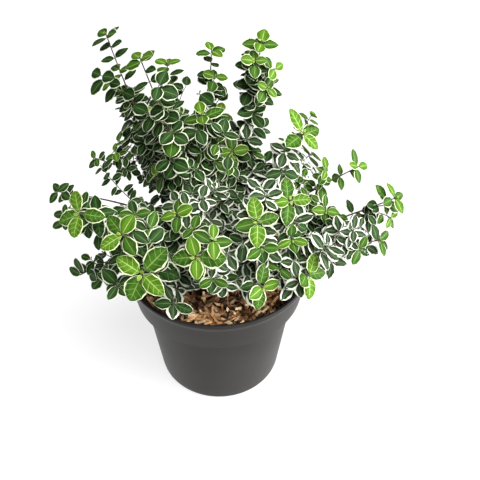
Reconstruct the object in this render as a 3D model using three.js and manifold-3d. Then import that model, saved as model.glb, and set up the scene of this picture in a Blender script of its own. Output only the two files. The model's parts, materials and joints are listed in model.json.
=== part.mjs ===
// Potted emerald gaiety wintercreeper: a small evergreen shrub with white-edged
// leaves, standing in a round nursery pot. Millimetres, +Z up. The origin is the
// centre of the pot's flat underside, and the shrub's front faces -Y.

import * as THREE from 'three';
import { mergeVertices } from 'three/addons/utils/BufferGeometryUtils.js';
import Module from 'manifold-3d';

const wasm = await Module();
wasm.setup();

// Driving sizes

const POT = {
  height: 182,
  rimRadius: 115,
  lipWidth: 4.2,
  lipDepth: 5,
  collarHeight: 44.1,
  collarFootRadius: 107.8,
  stepWidth: 9.8,
  footRadius: 83,
  footRound: 8,
  wall: 2.2,
  floor: 3,
  holes: 6,
  holeRadius: 5,
  holeCircle: 54,
  sides: 32,
};

const MIX = {
  seatHeight: 174,
  seatRadius: 16,
  crownRadius: 60,
  crownDrop: 1.5,
  edgeHeight: 168,
  chips: 22,
  chipLength: 21,
  chipWidth: 8,
  chipDepth: 3.2,
  chipInner: 24,
  chipOuter: 94,
};

const STEM = {
  height: 40,
  flareRadius: 11,
  flareHeight: 7,
  lowRadius: 7.4,
  topRadius: 6,
  crownRound: 2,
  lean: -1.5,
  sides: 12,
};

const BOUGH = {
  seatRadius: 1.95,
  tipRadius: 1.5,
  seatLow: 9,
  seatHigh: 37,
  seatSink: 1.5,
  seatSpacing: 6.8,
  settleRounds: 80,
  reach: 0.42,
  liftLow: 24,
  liftFall: 0.46,
  sides: 5,
  steps: 4,
};

const TWIG = {
  stemRadius: 2.1,
  stemTip: 1.3,
  radius: 1.15,
  tipRadius: 1,
  tries: 2,
  sides: 3,
  stemSteps: 4,
  steps: 1,
  angle: 52,
  lift: 0.35,
};

const LEAF = {
  widthShare: 0.74,
  widest: 0.45,
  thickness: 1.5,
  droop: 0.08,
  spread: 62,
  tipSpread: 55,
  crossStep: 5,
  faceUp: 0.7,
};

const GAP = 0.3;
const SPACE_MARGIN = 1.6;
const LIMB_MARGIN = 2.2;
const WELD = 1e-4;
const SHORTEST_EDGE = 0.02;
const GOLDEN_TURN = THREE.MathUtils.degToRad(137.5);
const UP = new THREE.Vector3(0, 0, 1);

// The shoots. tip is where the shoot ends. from is the share of its length where
// the bough ends and the foliage starts. pairs are leaf pairs on the stem, twigs
// are side twigs of the given reach, and leaf is the length of a grown leaf. lift
// is how steeply a flat shoot starts, in degrees, where it isn't BOUGH.liftLow.

const SHOOTS = [
  { name: 'tall_left', tip: [-110, 35, 450], from: 0.4, pairs: 6, twigs: 2, reach: 34, leaf: 25 },
  { name: 'tall_left_inner', tip: [-72, 0, 440], from: 0.36, pairs: 4, twigs: 3, reach: 38, leaf: 24 },
  { name: 'tall_mid_left', tip: [-54, 56, 412], from: 0.36, pairs: 4, twigs: 3, reach: 34, leaf: 24 },
  { name: 'tall_mid', tip: [-6, 60, 426], from: 0.36, pairs: 4, twigs: 2, reach: 32, leaf: 24 },
  { name: 'tall_right', tip: [46, 30, 446], from: 0.3, pairs: 6, twigs: 3, reach: 28, leaf: 25 },
  { name: 'crest', tip: [-14, -6, 384], from: 0.26, pairs: 4, twigs: 4, reach: 40, leaf: 26 },
  { name: 'crest_back', tip: [34, 72, 316], from: 0.26, pairs: 3, twigs: 4, reach: 44, leaf: 26 },
  { name: 'upper_right', tip: [92, -2, 362], from: 0.26, pairs: 3, twigs: 4, reach: 34, leaf: 30 },
  { name: 'right_high', tip: [164, 26, 304], from: 0.34, pairs: 4, twigs: 3, reach: 32, leaf: 24, lift: 16 },
  { name: 'right', tip: [203, -10, 286], from: 0.34, pairs: 4, twigs: 3, reach: 34, leaf: 25, lift: 8 },
  { name: 'right_low', tip: [186, -42, 250], from: 0.32, pairs: 3, twigs: 3, reach: 36, leaf: 25, lift: 16 },
  { name: 'slim_left', tip: [-132, -6, 330], from: 0.32, pairs: 5, twigs: 2, reach: 30, leaf: 22 },
  { name: 'left', tip: [-172, -30, 302], from: 0.4, pairs: 4, twigs: 2, reach: 30, leaf: 24, lift: 4 },
  { name: 'left_front', tip: [-132, -90, 318], from: 0.36, pairs: 3, twigs: 3, reach: 38, leaf: 28 },
  { name: 'left_low', tip: [-156, -62, 208], from: 0.3, pairs: 4, twigs: 3, reach: 34, leaf: 25, lift: 18 },
  { name: 'front_left', tip: [-88, -110, 308], from: 0.34, pairs: 3, twigs: 3, reach: 36, leaf: 27 },
  { name: 'front_left_low', tip: [-70, -124, 270], from: 0.3, pairs: 3, twigs: 3, reach: 38, leaf: 31 },
  { name: 'front_mid_left', tip: [-38, -80, 312], from: 0.26, pairs: 3, twigs: 3, reach: 38, leaf: 26 },
  { name: 'front_mid', tip: [-16, -120, 290], from: 0.3, pairs: 3, twigs: 3, reach: 38, leaf: 28 },
  { name: 'front_mid_right', tip: [44, -94, 314], from: 0.3, pairs: 3, twigs: 3, reach: 40, leaf: 29 },
  { name: 'front_right', tip: [78, -60, 316], from: 0.28, pairs: 3, twigs: 3, reach: 38, leaf: 27 },
  { name: 'front_right_low', tip: [102, -94, 243], from: 0.32, pairs: 3, twigs: 3, reach: 38, leaf: 28 },
  { name: 'rim_right', tip: [52, -108, 238], from: 0.32, pairs: 3, twigs: 2, reach: 34, leaf: 27 },
  { name: 'rim_left', tip: [-46, -100, 203], from: 0.3, pairs: 3, twigs: 2, reach: 32, leaf: 27 },
  { name: 'back_left', tip: [-128, 92, 286], from: 0.28, pairs: 3, twigs: 4, reach: 42, leaf: 28 },
  { name: 'back_mid', tip: [-30, 150, 296], from: 0.26, pairs: 3, twigs: 4, reach: 44, leaf: 29 },
  { name: 'back_mid_low', tip: [20, 168, 226], from: 0.3, pairs: 3, twigs: 4, reach: 42, leaf: 29 },
  { name: 'back_right', tip: [120, 112, 268], from: 0.28, pairs: 3, twigs: 4, reach: 44, leaf: 29 },
];

// Geometry helpers

const degrees = THREE.MathUtils.degToRad;

const turning = (angle) => new THREE.Vector3(Math.cos(angle), Math.sin(angle), 0);

/** An even number from 0 to 1 that depends only on a seed and a count. */
function chance(seed, count) {
  const wave = Math.sin(seed * 12.9898 + count * 78.233) * 43758.5453;
  return wave - Math.floor(wave);
}

/** Leaves only positions, joins shared corners and drops empty triangles. */
function welded(geometry) {
  geometry.deleteAttribute('normal');
  geometry.deleteAttribute('uv');
  const joined = mergeVertices(geometry, WELD);
  const corners = joined.index.array;
  const kept = [];
  for (let i = 0; i < corners.length; i += 3) {
    const triangle = [corners[i], corners[i + 1], corners[i + 2]];
    if (new Set(triangle).size === 3) kept.push(...triangle);
  }
  joined.setIndex(kept);
  return joined;
}

function toSolid(geometry) {
  const closed = welded(geometry);
  return new wasm.Manifold(new wasm.Mesh({
    numProp: 3,
    vertProperties: new Float32Array(closed.attributes.position.array),
    triVerts: new Uint32Array(closed.index.array),
  }));
}

function toGeometry(solid) {
  const { numProp, vertProperties, triVerts } = solid.getMesh();
  const places = [];
  for (let i = 0; i < vertProperties.length; i += numProp) {
    places.push(vertProperties[i], vertProperties[i + 1], vertProperties[i + 2]);
  }
  const geometry = new THREE.BufferGeometry();
  geometry.setAttribute('position', new THREE.Float32BufferAttribute(places, 3));
  geometry.setIndex([...triVerts]);
  geometry.computeVertexNormals();
  return geometry;
}

/** Joins solids two by two, so that each join is between pieces of like size. */
function joinAll(solids) {
  let round = solids;
  while (round.length > 1) {
    const next = [];
    for (let i = 0; i < round.length; i += 2) {
      next.push(i + 1 < round.length ? round[i].add(round[i + 1]) : round[i]);
    }
    round = next;
  }
  return round[0];
}

/** Draws the ends of very short edges together, which leaves no slivers. */
function withoutSlivers(solid) {
  const { vertProperties, triVerts } = solid.getMesh();
  const place = (corner) => new THREE.Vector3().fromArray(vertProperties, 3 * corner);
  const owners = [...Array(vertProperties.length / 3).keys()];
  const owner = (corner) => {
    while (owners[corner] !== corner) corner = owners[corner];
    return corner;
  };
  triVerts.forEach((corner, i) => {
    const next = triVerts[i % 3 === 2 ? i - 2 : i + 1];
    const [one, other] = [owner(corner), owner(next)];
    if (place(one).distanceTo(place(other)) < SHORTEST_EDGE) owners[other] = one;
  });
  const kept = [];
  for (let i = 0; i < triVerts.length; i += 3) {
    const triangle = [...triVerts.subarray(i, i + 3)].map(owner);
    if (new Set(triangle).size === 3) kept.push(...triangle);
  }
  return new wasm.Manifold(new wasm.Mesh({ numProp: 3, vertProperties, triVerts: new Uint32Array(kept) }));
}

/** Keeps the outer skin of the largest body: scraps go and sealed hollows fill. */
function mainBody(solid) {
  const bodies = solid.decompose();
  return withoutSlivers(bodies.reduce((best, body) => (body.volume() > best.volume() ? body : best)));
}

function turned(profile, sides) {
  const points = profile.map(([radius, height]) => new THREE.Vector2(radius, height));
  return new THREE.LatheGeometry(points, sides).rotateX(Math.PI / 2);
}

/** A round rod with closed ends, bent along a curve and tapered. */
function limb(curve, startRadius, endRadius, sides, steps) {
  const rod = new THREE.CylinderGeometry(endRadius, startRadius, steps, sides, steps);
  const frames = curve.computeFrenetFrames(steps);
  const spots = rod.attributes.position;
  for (let i = 0; i < spots.count; i += 1) {
    const step = Math.round(spots.getY(i) + steps / 2);
    const place = curve.getPointAt(step / steps)
      .addScaledVector(frames.normals[step], spots.getX(i))
      .addScaledVector(frames.binormals[step], -spots.getZ(i));
    spots.setXYZ(i, place.x, place.y, place.z);
  }
  return rod;
}

/** A stretch of another curve, from one share of its length to another. */
class Stretch extends THREE.Curve {
  constructor(whole, from, to) {
    super();
    Object.assign(this, { whole, from, to });
  }

  getPoint(t, target) {
    return this.whole.getPointAt(this.from + t * (this.to - this.from), target);
  }
}

// Pot and potting mix

function potProfile() {
  const stepHeight = POT.height - POT.collarHeight;
  const bodyTop = POT.collarFootRadius - POT.stepWidth;
  const lean = (bodyTop - POT.footRadius) / stepHeight;
  const foot = [];
  for (const turn of [0, 45, 90].map(degrees)) {
    foot.push([
      POT.footRadius - POT.footRound * (1 - Math.sin(turn)) + lean * POT.footRound,
      POT.footRound * (1 - Math.cos(turn)),
    ]);
  }
  const innerStep = stepHeight + POT.wall;
  return {
    outside: [
      [0, 0],
      ...foot,
      [bodyTop, stepHeight],
      [POT.collarFootRadius, stepHeight + 0.6],
      [POT.rimRadius - 0.9, POT.height - POT.lipDepth],
      [POT.rimRadius, POT.height - 1.2],
      [POT.rimRadius - 1.2, POT.height],
    ],
    inside: [
      [POT.rimRadius - POT.lipWidth + 1, POT.height],
      [POT.rimRadius - POT.lipWidth, POT.height - 1.2],
      [POT.rimRadius - POT.lipWidth, POT.height - POT.lipDepth],
      [POT.rimRadius - POT.wall - 1.2, POT.height - POT.lipDepth - 2],
      [POT.collarFootRadius - POT.wall, innerStep],
      [bodyTop - POT.wall, innerStep - 2.5],
      [POT.footRadius + lean * POT.footRound - POT.wall, POT.footRound + 1],
      [POT.footRadius - POT.footRound + 1, POT.floor],
      [0, POT.floor],
    ],
  };
}

function potShell() {
  const { outside, inside } = potProfile();
  let shell = toSolid(turned([...outside, ...inside], POT.sides));
  for (let hole = 0; hole < POT.holes; hole += 1) {
    const centre = turning((hole + 0.5) * 2 * Math.PI / POT.holes).multiplyScalar(POT.holeCircle);
    const drill = new THREE.CylinderGeometry(POT.holeRadius, POT.holeRadius, 4 * POT.floor, 8)
      .rotateX(Math.PI / 2)
      .translate(centre.x, centre.y, 0);
    shell = shell.subtract(toSolid(drill));
  }
  return toGeometry(shell);
}

/** The mix fills the pot a gap clear of its inside, with bark chips on top. */
function pottingMix() {
  const { inside } = potProfile();
  const wallLow = inside.slice(4).reverse();
  const collar = wallLow[wallLow.length - 1];
  const rimSide = inside[3];
  const share = (MIX.edgeHeight - collar[1]) / (rimSide[1] - collar[1]);
  const edgeRadius = THREE.MathUtils.lerp(collar[0], rimSide[0], share) - 1.5 * GAP;
  const body = toSolid(turned([
    ...wallLow.map(([radius, height]) => [Math.max(radius - 1.5 * GAP, 0), height + GAP]),
    [edgeRadius, MIX.edgeHeight],
    [MIX.crownRadius, MIX.seatHeight - MIX.crownDrop],
    [MIX.seatRadius, MIX.seatHeight],
    [0, MIX.seatHeight],
  ], POT.sides));
  return toGeometry(mainBody(joinAll([body, ...barkChips()])));
}

function barkChips() {
  const chips = [];
  for (let i = 0; i < MIX.chips; i += 1) {
    const share = Math.sqrt((i + 0.5) / MIX.chips);
    const radius = THREE.MathUtils.lerp(MIX.chipInner, MIX.chipOuter, share);
    const fall = THREE.MathUtils.lerp(MIX.seatHeight, MIX.edgeHeight, share);
    const size = 0.7 + 0.6 * chance(1, i);
    const place = turning(i * GOLDEN_TURN).multiplyScalar(radius).setZ(fall);
    const tilt = new THREE.Euler(
      degrees(24 * (chance(2, i) - 0.5)),
      degrees(24 * (chance(3, i) - 0.5)),
      2 * Math.PI * chance(4, i),
    );
    const chip = new THREE.BoxGeometry(MIX.chipLength * size, MIX.chipWidth * size, MIX.chipDepth)
      .applyMatrix4(new THREE.Matrix4().makeRotationFromEuler(tilt))
      .translate(place.x, place.y, place.z);
    chips.push(toSolid(chip));
  }
  return chips;
}

// Main stem

const stemFoot = new THREE.Vector3(0, 0, MIX.seatHeight + GAP);

/** The short stem, flared at its foot, made wider all round by a clearance. */
function mainStem(clearance) {
  const { height, flareRadius, flareHeight, lowRadius, topRadius, crownRound } = STEM;
  const profile = [
    [0, -clearance],
    [flareRadius + clearance, -clearance],
    [(flareRadius + lowRadius) / 2 - 0.6 + clearance, flareHeight / 2],
    [lowRadius + clearance, flareHeight],
    [topRadius + clearance, height - crownRound],
    [topRadius - crownRound + clearance, height + clearance],
    [0, height + clearance],
  ];
  const leaning = new THREE.Matrix4().makeShear(0, 0, 0, 0, 0, STEM.lean / height);
  leaning.setPosition(stemFoot);
  return turned(profile, STEM.sides).applyMatrix4(leaning);
}

// Boughs: each leaves the stem at a seat of its own and ends in its foliage

function seatRadiusAt(height) {
  const share = (height - STEM.flareHeight) / (STEM.height - STEM.flareHeight);
  return THREE.MathUtils.lerp(STEM.lowRadius, STEM.topRadius, share) - BOUGH.seatSink;
}

/** Flat shoots sit low on the stem and steep ones high, spaced out around it. */
function seatShoots(shoots) {
  const middle = stemFoot.clone().setZ(stemFoot.z + STEM.height / 2);
  const seats = shoots.map((shoot) => {
    const way = new THREE.Vector3(...shoot.tip).sub(middle);
    return {
      shoot,
      azimuth: Math.atan2(way.y, way.x),
      slope: Math.atan2(way.z, Math.hypot(way.x, way.y)),
    };
  });
  seats.sort((a, b) => a.slope - b.slope);
  seats.forEach((seat, rank) => {
    const share = rank / (seats.length - 1);
    seat.height = THREE.MathUtils.lerp(BOUGH.seatLow, BOUGH.seatHigh, share);
  });
  for (let round = 0; round < BOUGH.settleRounds; round += 1) {
    for (const [i, one] of seats.entries()) {
      for (const other of seats.slice(i + 1)) {
        const radius = seatRadiusAt((one.height + other.height) / 2) + BOUGH.seatSink;
        const turn = Math.atan2(
          Math.sin(other.azimuth - one.azimuth),
          Math.cos(other.azimuth - one.azimuth),
        );
        const apart = Math.hypot(turn * radius, other.height - one.height);
        if (apart < BOUGH.seatSpacing) {
          const push = 0.25 * (BOUGH.seatSpacing - apart) / radius * Math.sign(turn || 1);
          one.azimuth -= push;
          other.azimuth += push;
        }
      }
    }
  }
  return seats;
}

function shootCurve({ shoot, azimuth, height }) {
  const start = turning(azimuth).multiplyScalar(seatRadiusAt(height)).add(stemFoot);
  start.z += height;
  const tip = new THREE.Vector3(...shoot.tip);
  const way = tip.clone().sub(start);
  const slope = THREE.MathUtils.radToDeg(Math.atan2(way.z, Math.hypot(way.x, way.y)));
  const leaving = degrees(slope + (shoot.lift ?? BOUGH.liftLow) - BOUGH.liftFall * slope);
  const bend = turning(azimuth).multiplyScalar(Math.cos(leaving))
    .addScaledVector(UP, Math.sin(leaving))
    .multiplyScalar(BOUGH.reach * way.length())
    .add(start);
  return new THREE.QuadraticBezierCurve3(start, bend, tip);
}

function boughSolid({ curve, shoot }, stemRoom) {
  const end = shoot.from - GAP / curve.getLength();
  const rod = limb(new Stretch(curve, 0, end), BOUGH.seatRadius, BOUGH.tipRadius, BOUGH.sides, BOUGH.steps);
  return mainBody(toSolid(rod).subtract(stemRoom));
}

// Foliage

/** A unit vector square to a direction, turned about it by an angle. */
function across(direction, turn) {
  const guide = Math.abs(direction.y) < 0.9 ? new THREE.Vector3(0, 1, 0) : new THREE.Vector3(1, 0, 0);
  const first = guide.cross(direction).normalize();
  const second = direction.clone().cross(first);
  return first.multiplyScalar(Math.cos(turn)).addScaledVector(second, Math.sin(turn));
}

function square(vector, direction) {
  return vector.clone().addScaledVector(direction, -vector.dot(direction)).normalize();
}

/** Two leaves that face each other across a stem, their upper sides to its tip. */
function leafPair(curve, share, turn, spread, length) {
  const root = curve.getPointAt(share);
  const stemWay = curve.getTangentAt(share);
  const face = stemWay.clone().addScaledVector(UP, LEAF.faceUp);
  return [0, Math.PI].map((half) => {
    const direction = stemWay.clone().multiplyScalar(Math.cos(spread))
      .addScaledVector(across(stemWay, turn + half), Math.sin(spread));
    return { root, direction, normal: square(face, direction), length };
  });
}

/** Pairs a quarter turn apart along a stem, with a cross of four at its tip. */
function leavesOn(curve, seed, pairs, length) {
  const leaves = [];
  for (let i = 0; i < pairs; i += 1) {
    const turn = (i + chance(seed, i)) * Math.PI / 2 + 0.4 * chance(seed, i + 20);
    const size = length * (0.72 + 0.28 * chance(seed, i + 40));
    leaves.push(...leafPair(curve, (i + 0.4) / (pairs + 0.2), turn, degrees(LEAF.spread), size));
  }
  const tipTurn = Math.PI * chance(seed, 60);
  const below = 1 - LEAF.crossStep / curve.getLength();
  leaves.push(...leafPair(curve, below, tipTurn, degrees(LEAF.spread), length));
  leaves.push(...leafPair(curve, 0.99, tipTurn + Math.PI / 2, degrees(LEAF.tipSpread), 0.82 * length));
  return leaves;
}

/** Side twigs leave a stem a golden turn apart and curve up towards the light. */
function twigCurve(curve, seed, index, shoot) {
  const share = 0.06 + 0.8 * ((index + 0.5 * chance(seed, index + 80)) / shoot.twigs % 1);
  const root = curve.getPointAt(share);
  const stemWay = curve.getTangentAt(share);
  const length = shoot.reach * (1 - 0.35 * share) * (0.85 + 0.3 * chance(seed, index + 90));
  const angle = degrees(TWIG.angle);
  const out = across(stemWay, index * GOLDEN_TURN + 6 * chance(seed, 99));
  const way = stemWay.clone().multiplyScalar(Math.cos(angle)).addScaledVector(out, Math.sin(angle));
  const end = root.clone().addScaledVector(way, length).addScaledVector(UP, TWIG.lift * length);
  const bend = root.clone().addScaledVector(way, 0.55 * length);
  return new THREE.QuadraticBezierCurve3(root, bend, end);
}

/** The corners of a leaf's outline: its root, its two sides and its tip. */
function leafOutline({ root, direction, normal, length }) {
  const side = direction.clone().cross(normal);
  const corner = (along, out) => root.clone()
    .addScaledVector(direction, along * length)
    .addScaledVector(side, out * length)
    .addScaledVector(normal, -LEAF.droop * along * along * length);
  return [
    corner(0, 0),
    corner(LEAF.widest, LEAF.widthShare / 2),
    corner(1, 0),
    corner(LEAF.widest, -LEAF.widthShare / 2),
  ];
}

/** A blade with a bent underside and a raised middle, thinning to its edge. */
function leafGeometry(leaf) {
  const outline = leafOutline(leaf);
  const middle = outline[1].clone().lerp(outline[3], 0.5).addScaledVector(leaf.normal, LEAF.thickness);
  const geometry = new THREE.BufferGeometry().setFromPoints([...outline, middle]);
  geometry.setIndex([0, 1, 4, 1, 2, 4, 2, 3, 4, 3, 0, 4, 0, 3, 1, 2, 1, 3]);
  return geometry;
}

function distanceTo(point, line) {
  let nearest = Infinity;
  const spot = new THREE.Vector3();
  for (let i = 0; i + 1 < line.length; i += 1) {
    new THREE.Line3(line[i], line[i + 1]).closestPointToPoint(point, true, spot);
    nearest = Math.min(nearest, spot.distanceTo(point));
  }
  return nearest;
}

/** True where a point is on its own shoot's side, clear of limbs, pot and mix. */
function hasRoom(point, own, plants) {
  const flat = Math.hypot(point.x, point.y);
  if (point.z < POT.height + 3 && flat < POT.rimRadius + 3 && flat > POT.rimRadius - 9) return false;
  if (point.z < MIX.seatHeight + 5 && flat < POT.rimRadius + 2) return false;
  if (point.z < 0.55 * POT.height) return false;
  if (distanceTo(point, stemLine) < STEM.lowRadius + LIMB_MARGIN) return false;
  const ownWay = distanceTo(point, own.foliageLine);
  return plants.every((plant) => {
    if (distanceTo(point, plant.boughLine) < BOUGH.seatRadius + LIMB_MARGIN) {
      return plant === own && ownWay < distanceTo(point, plant.boughLine);
    }
    return plant === own || distanceTo(point, plant.foliageLine) > ownWay + SPACE_MARGIN;
  });
}

/** The outline's corners beyond the root, and the middles of its edges and rib. */
function leafSpots(leaf) {
  const [root, right, tip, left] = leafOutline(leaf);
  return [
    right,
    tip,
    left,
    root.clone().lerp(tip, 0.5),
    right.clone().lerp(tip, 0.5),
    left.clone().lerp(tip, 0.5),
  ];
}

function foliageSolid(plant, plants) {
  const { stem, shoot, seed } = plant;
  const wood = [limb(stem, TWIG.stemRadius, TWIG.stemTip, TWIG.sides, TWIG.stemSteps)];
  const leaves = leavesOn(stem, seed, shoot.pairs, shoot.leaf);
  for (let i = 0; i < TWIG.tries * shoot.twigs && wood.length <= shoot.twigs; i += 1) {
    const twig = twigCurve(stem, seed, i, shoot);
    if (twig.getSpacedPoints(4).slice(2).every((spot) => hasRoom(spot, plant, plants))) {
      wood.push(limb(twig, TWIG.radius, TWIG.tipRadius, TWIG.sides, TWIG.steps));
      leaves.push(...leavesOn(twig, seed + 7 * (i + 1), 0, 0.92 * shoot.leaf));
    }
  }
  const grown = leaves.filter((leaf) => leafSpots(leaf).every((spot) => hasRoom(spot, plant, plants)));
  plant.leafCount = grown.length;
  return mainBody(joinAll([...wood, ...grown.map(leafGeometry)].map(toSolid)));
}

const stemLine = [stemFoot, stemFoot.clone().setZ(stemFoot.z + STEM.height)];

function growPlants() {
  return seatShoots(SHOOTS).map((seat) => {
    const curve = shootCurve(seat);
    const { shoot } = seat;
    const stem = new Stretch(curve, shoot.from, 1);
    return {
      shoot,
      seed: 1 + SHOOTS.indexOf(shoot),
      curve,
      stem,
      boughLine: new Stretch(curve, 0, shoot.from).getSpacedPoints(6),
      foliageLine: stem.getSpacedPoints(6),
    };
  });
}

// Assembly

const FINISHES = {
  pot: { color: 0x5a5855, roughness: 0.5, metalness: 0 },
  mix: { color: 0x8a6239, roughness: 0.95, metalness: 0 },
  wood: { color: 0x6b5a40, roughness: 0.8, metalness: 0 },
  foliage: { color: 0x4f7d3f, roughness: 0.5, metalness: 0 },
};

function part(name, geometry, finish) {
  const mesh = new THREE.Mesh(geometry, new THREE.MeshStandardMaterial(FINISHES[finish]));
  mesh.name = name;
  return mesh;
}

const group = new THREE.Group();
group.add(part('pot', potShell(), 'pot'));
group.add(part('potting_mix', pottingMix(), 'mix'));
group.add(part('main_stem', mainStem(0), 'wood'));

const plants = growPlants();
const stemRoom = toSolid(mainStem(GAP));
for (const plant of plants) {
  const { name } = plant.shoot;
  group.add(part(`bough_${name}`, toGeometry(boughSolid(plant, stemRoom)), 'wood'));
  group.add(part(`foliage_${name}`, toGeometry(foliageSolid(plant, plants)), 'foliage'));
}

export default group;
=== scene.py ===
"""Potted emerald gaiety wintercreeper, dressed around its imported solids.

Growth is worked out in millimetres, in the part's own frame: the origin is the
centre of the pot's underside, +Z is up and the shrub's front faces -Y. Meshes
are made in metres.
"""

from __future__ import annotations

import json
import logging
import math
from dataclasses import dataclass, field, replace
from enum import Enum

import bpy
import numpy as np
from mathutils import Matrix, Vector

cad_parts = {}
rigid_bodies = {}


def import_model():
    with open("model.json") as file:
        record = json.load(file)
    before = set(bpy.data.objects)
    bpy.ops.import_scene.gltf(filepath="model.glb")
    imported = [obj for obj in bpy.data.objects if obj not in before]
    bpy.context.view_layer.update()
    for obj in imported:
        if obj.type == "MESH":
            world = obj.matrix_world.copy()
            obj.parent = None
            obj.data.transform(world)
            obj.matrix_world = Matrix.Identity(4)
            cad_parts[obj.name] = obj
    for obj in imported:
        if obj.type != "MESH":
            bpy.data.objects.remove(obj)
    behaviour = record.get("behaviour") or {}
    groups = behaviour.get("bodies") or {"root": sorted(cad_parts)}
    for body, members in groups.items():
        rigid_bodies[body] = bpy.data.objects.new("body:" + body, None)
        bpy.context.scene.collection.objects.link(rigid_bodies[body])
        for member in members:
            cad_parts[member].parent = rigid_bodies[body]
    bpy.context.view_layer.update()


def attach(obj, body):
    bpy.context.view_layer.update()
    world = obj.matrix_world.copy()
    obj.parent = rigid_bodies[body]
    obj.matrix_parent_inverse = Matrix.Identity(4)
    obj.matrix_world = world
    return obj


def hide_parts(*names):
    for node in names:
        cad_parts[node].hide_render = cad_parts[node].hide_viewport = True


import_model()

LOG = logging.getLogger("wintercreeper")
MM = 0.001
BODY = "root"
GOLDEN_TURN = math.radians(137.5)
QUARTER_TURN = np.pi / 2
UP = np.array([0.0, 0.0, 1.0])
LIGHT = np.array([0.1, -0.66, 0.74])

# A Range is a least value and how far the values reach above it. A Slope is a
# value and how much of something else is added to it or taken from it.

Values = np.ndarray | float
Range = tuple[float, float]
Slope = tuple[float, float]
Colour = tuple[int, int, int]
Point = tuple[float, float, float]


class Tone(Enum):
    """How old a leaf looks, from the silvery inner leaves to the newest tips."""

    SILVER = 0
    DARK = 1
    MID = 2
    LIME = 3
    YOUNG = 4


class Zone(Enum):
    """The parts of a leaf that have a colour of their own."""

    MARGIN = 0
    OUTER = 1
    INNER = 2
    RIB = 3
    UNDER = 4


class Draw:
    """Numbers of the draws, so that no two choices of a plant part share one.

    OTHER_LEAF and OTHER_SIDE are the second leaf of a pair and the second half
    of a leaf. Where many are drawn, they are numbered on from the one named.
    """

    RISE = 1
    FALL = 2
    DROOP = 4
    SPLASH = 8
    FRESH = 9
    TWIG_CROSS = 20
    PAIR_SIZE = 40
    LIGHTER = 70
    TWIG_PLACE = 80
    TWIG_REACH = 90
    TWIG_TURN = 99
    FINE_PLACE = 120
    FINE_REACH = 140
    FINE_TURN = 160
    LEAF = 200
    OTHER_LEAF = 260
    OTHER_SIDE = 20
    MARGIN = 300
    INNER = 400
    BARK = 500


class Seed:
    """Where the seeds of twigs and leaves start, and how far they lie apart."""

    SPREAD = 3
    LENGTH = 5
    WIDTH = 7
    CROSS = 11
    TWIG = 7
    FINE = 400
    SIDE = 900
    LEAF = 0.37


# Numbers


def linear(red: int, green: int, blue: int) -> tuple[float, float, float, float]:
    """Turns a screen colour from 0 to 255 into a linear one, by the sRGB curve.

    The curve is a straight line near black and a power of 2.4 above that.

    Args:
        red, green, blue: the colour as a screen shows it.

    Returns:
        The linear colour with an alpha of one.
    """
    shares = [channel / 255 for channel in (red, green, blue)]
    bent = [s / 12.92 if s <= 0.04045 else ((s + 0.055) / 1.055) ** 2.4 for s in shares]
    return (*bent, 1.0)


def chance(seed: Values, count: Values) -> np.ndarray:
    """Draws even numbers from 0 to 1: the fraction left by a large multiple of a sine."""
    wave = np.sin(np.asarray(seed) * 12.9898 + np.asarray(count) * 78.233) * 43758.5453
    return wave - np.floor(wave)


def vary(seed: Values, count: Values, span: Range) -> np.ndarray:
    """Draws even numbers between a least one and that plus a width."""
    return span[0] + span[1] * chance(seed, count)


def sway(seed: Values, count: Values, width: float) -> np.ndarray:
    """Draws even numbers within half a width to either side of zero."""
    return width * (chance(seed, count) - 0.5)


def unit(vectors: np.ndarray) -> np.ndarray:
    """Scales vectors, one a row, to length one."""
    return vectors / np.maximum(np.linalg.norm(vectors, axis=-1, keepdims=True), 1e-9)


def dot(one: np.ndarray, other: np.ndarray) -> np.ndarray:
    """Multiplies vectors row by row and adds up, one number a row in a column."""
    return np.sum(one * other, axis=-1, keepdims=True)


def ring_angles(sides: int, shift: float = 0.0) -> np.ndarray:
    """Lists even angles round a circle, the first a share of one side past zero."""
    return 2 * np.pi * (np.arange(sides) + shift) / sides


def across(direction: np.ndarray, turn: Values) -> np.ndarray:
    """Finds unit vectors square to each direction, turned about it.

    They are the cosine and sine of the turn along two vectors square to the
    direction, the first of which is square to a guide that is never along it.

    Args:
        direction: unit vectors, one a row.
        turn: angles in radians.

    Returns:
        One unit vector for each row.
    """
    aside = np.abs(direction[..., 1:2]) < 0.9
    guide = np.where(aside, np.array([0.0, 1.0, 0.0]), np.array([1.0, 0.0, 0.0]))
    first = unit(np.cross(guide, direction))
    second = np.cross(direction, first)
    return first * np.cos(turn)[..., None] + second * np.sin(turn)[..., None]


# Meshes from arrays


@dataclass
class Faces:
    """Polygons of several sizes over one run of vertices."""

    corners: np.ndarray
    sizes: np.ndarray
    slots: np.ndarray

    def repeated(self, copies: int, stride: int) -> Faces:
        """Repeats the polygons over several runs of vertices.

        Args:
            copies: how many runs.
            stride: vertices in one run.

        Returns:
            The polygons of every run.
        """
        shift = np.arange(copies)[:, None] * stride
        corners = (self.corners[None, :] + shift).ravel()
        return Faces(corners, np.tile(self.sizes, copies), np.tile(self.slots, copies))


def listed(*groups: np.ndarray) -> Faces:
    """Lists groups of polygons, each group an array with one polygon a row.

    Args:
        groups: the arrays.

    Returns:
        The polygons, all in the first slot.
    """
    sizes = np.concatenate([np.full(len(group), group.shape[1]) for group in groups])
    corners = np.concatenate([group.ravel() for group in groups])
    return Faces(corners, sizes, np.zeros(len(sizes), int))


def grid(rows: int, columns: int, wrap: bool = True) -> np.ndarray:
    """Lists the quads between neighbouring rows of a grid of vertices.

    Args:
        rows: rows of vertices.
        columns: vertices in a row.
        wrap: whether the last column joins the first.

    Returns:
        An array of four vertex numbers for each quad.
    """
    row, column = np.meshgrid(np.arange(rows - 1), np.arange(columns - (not wrap)), indexing="ij")
    after = (column + 1) % columns
    low, high = row * columns, (row + 1) * columns
    return np.stack([low + column, low + after, high + after, high + column], axis=-1).reshape(-1, 4)


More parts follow.
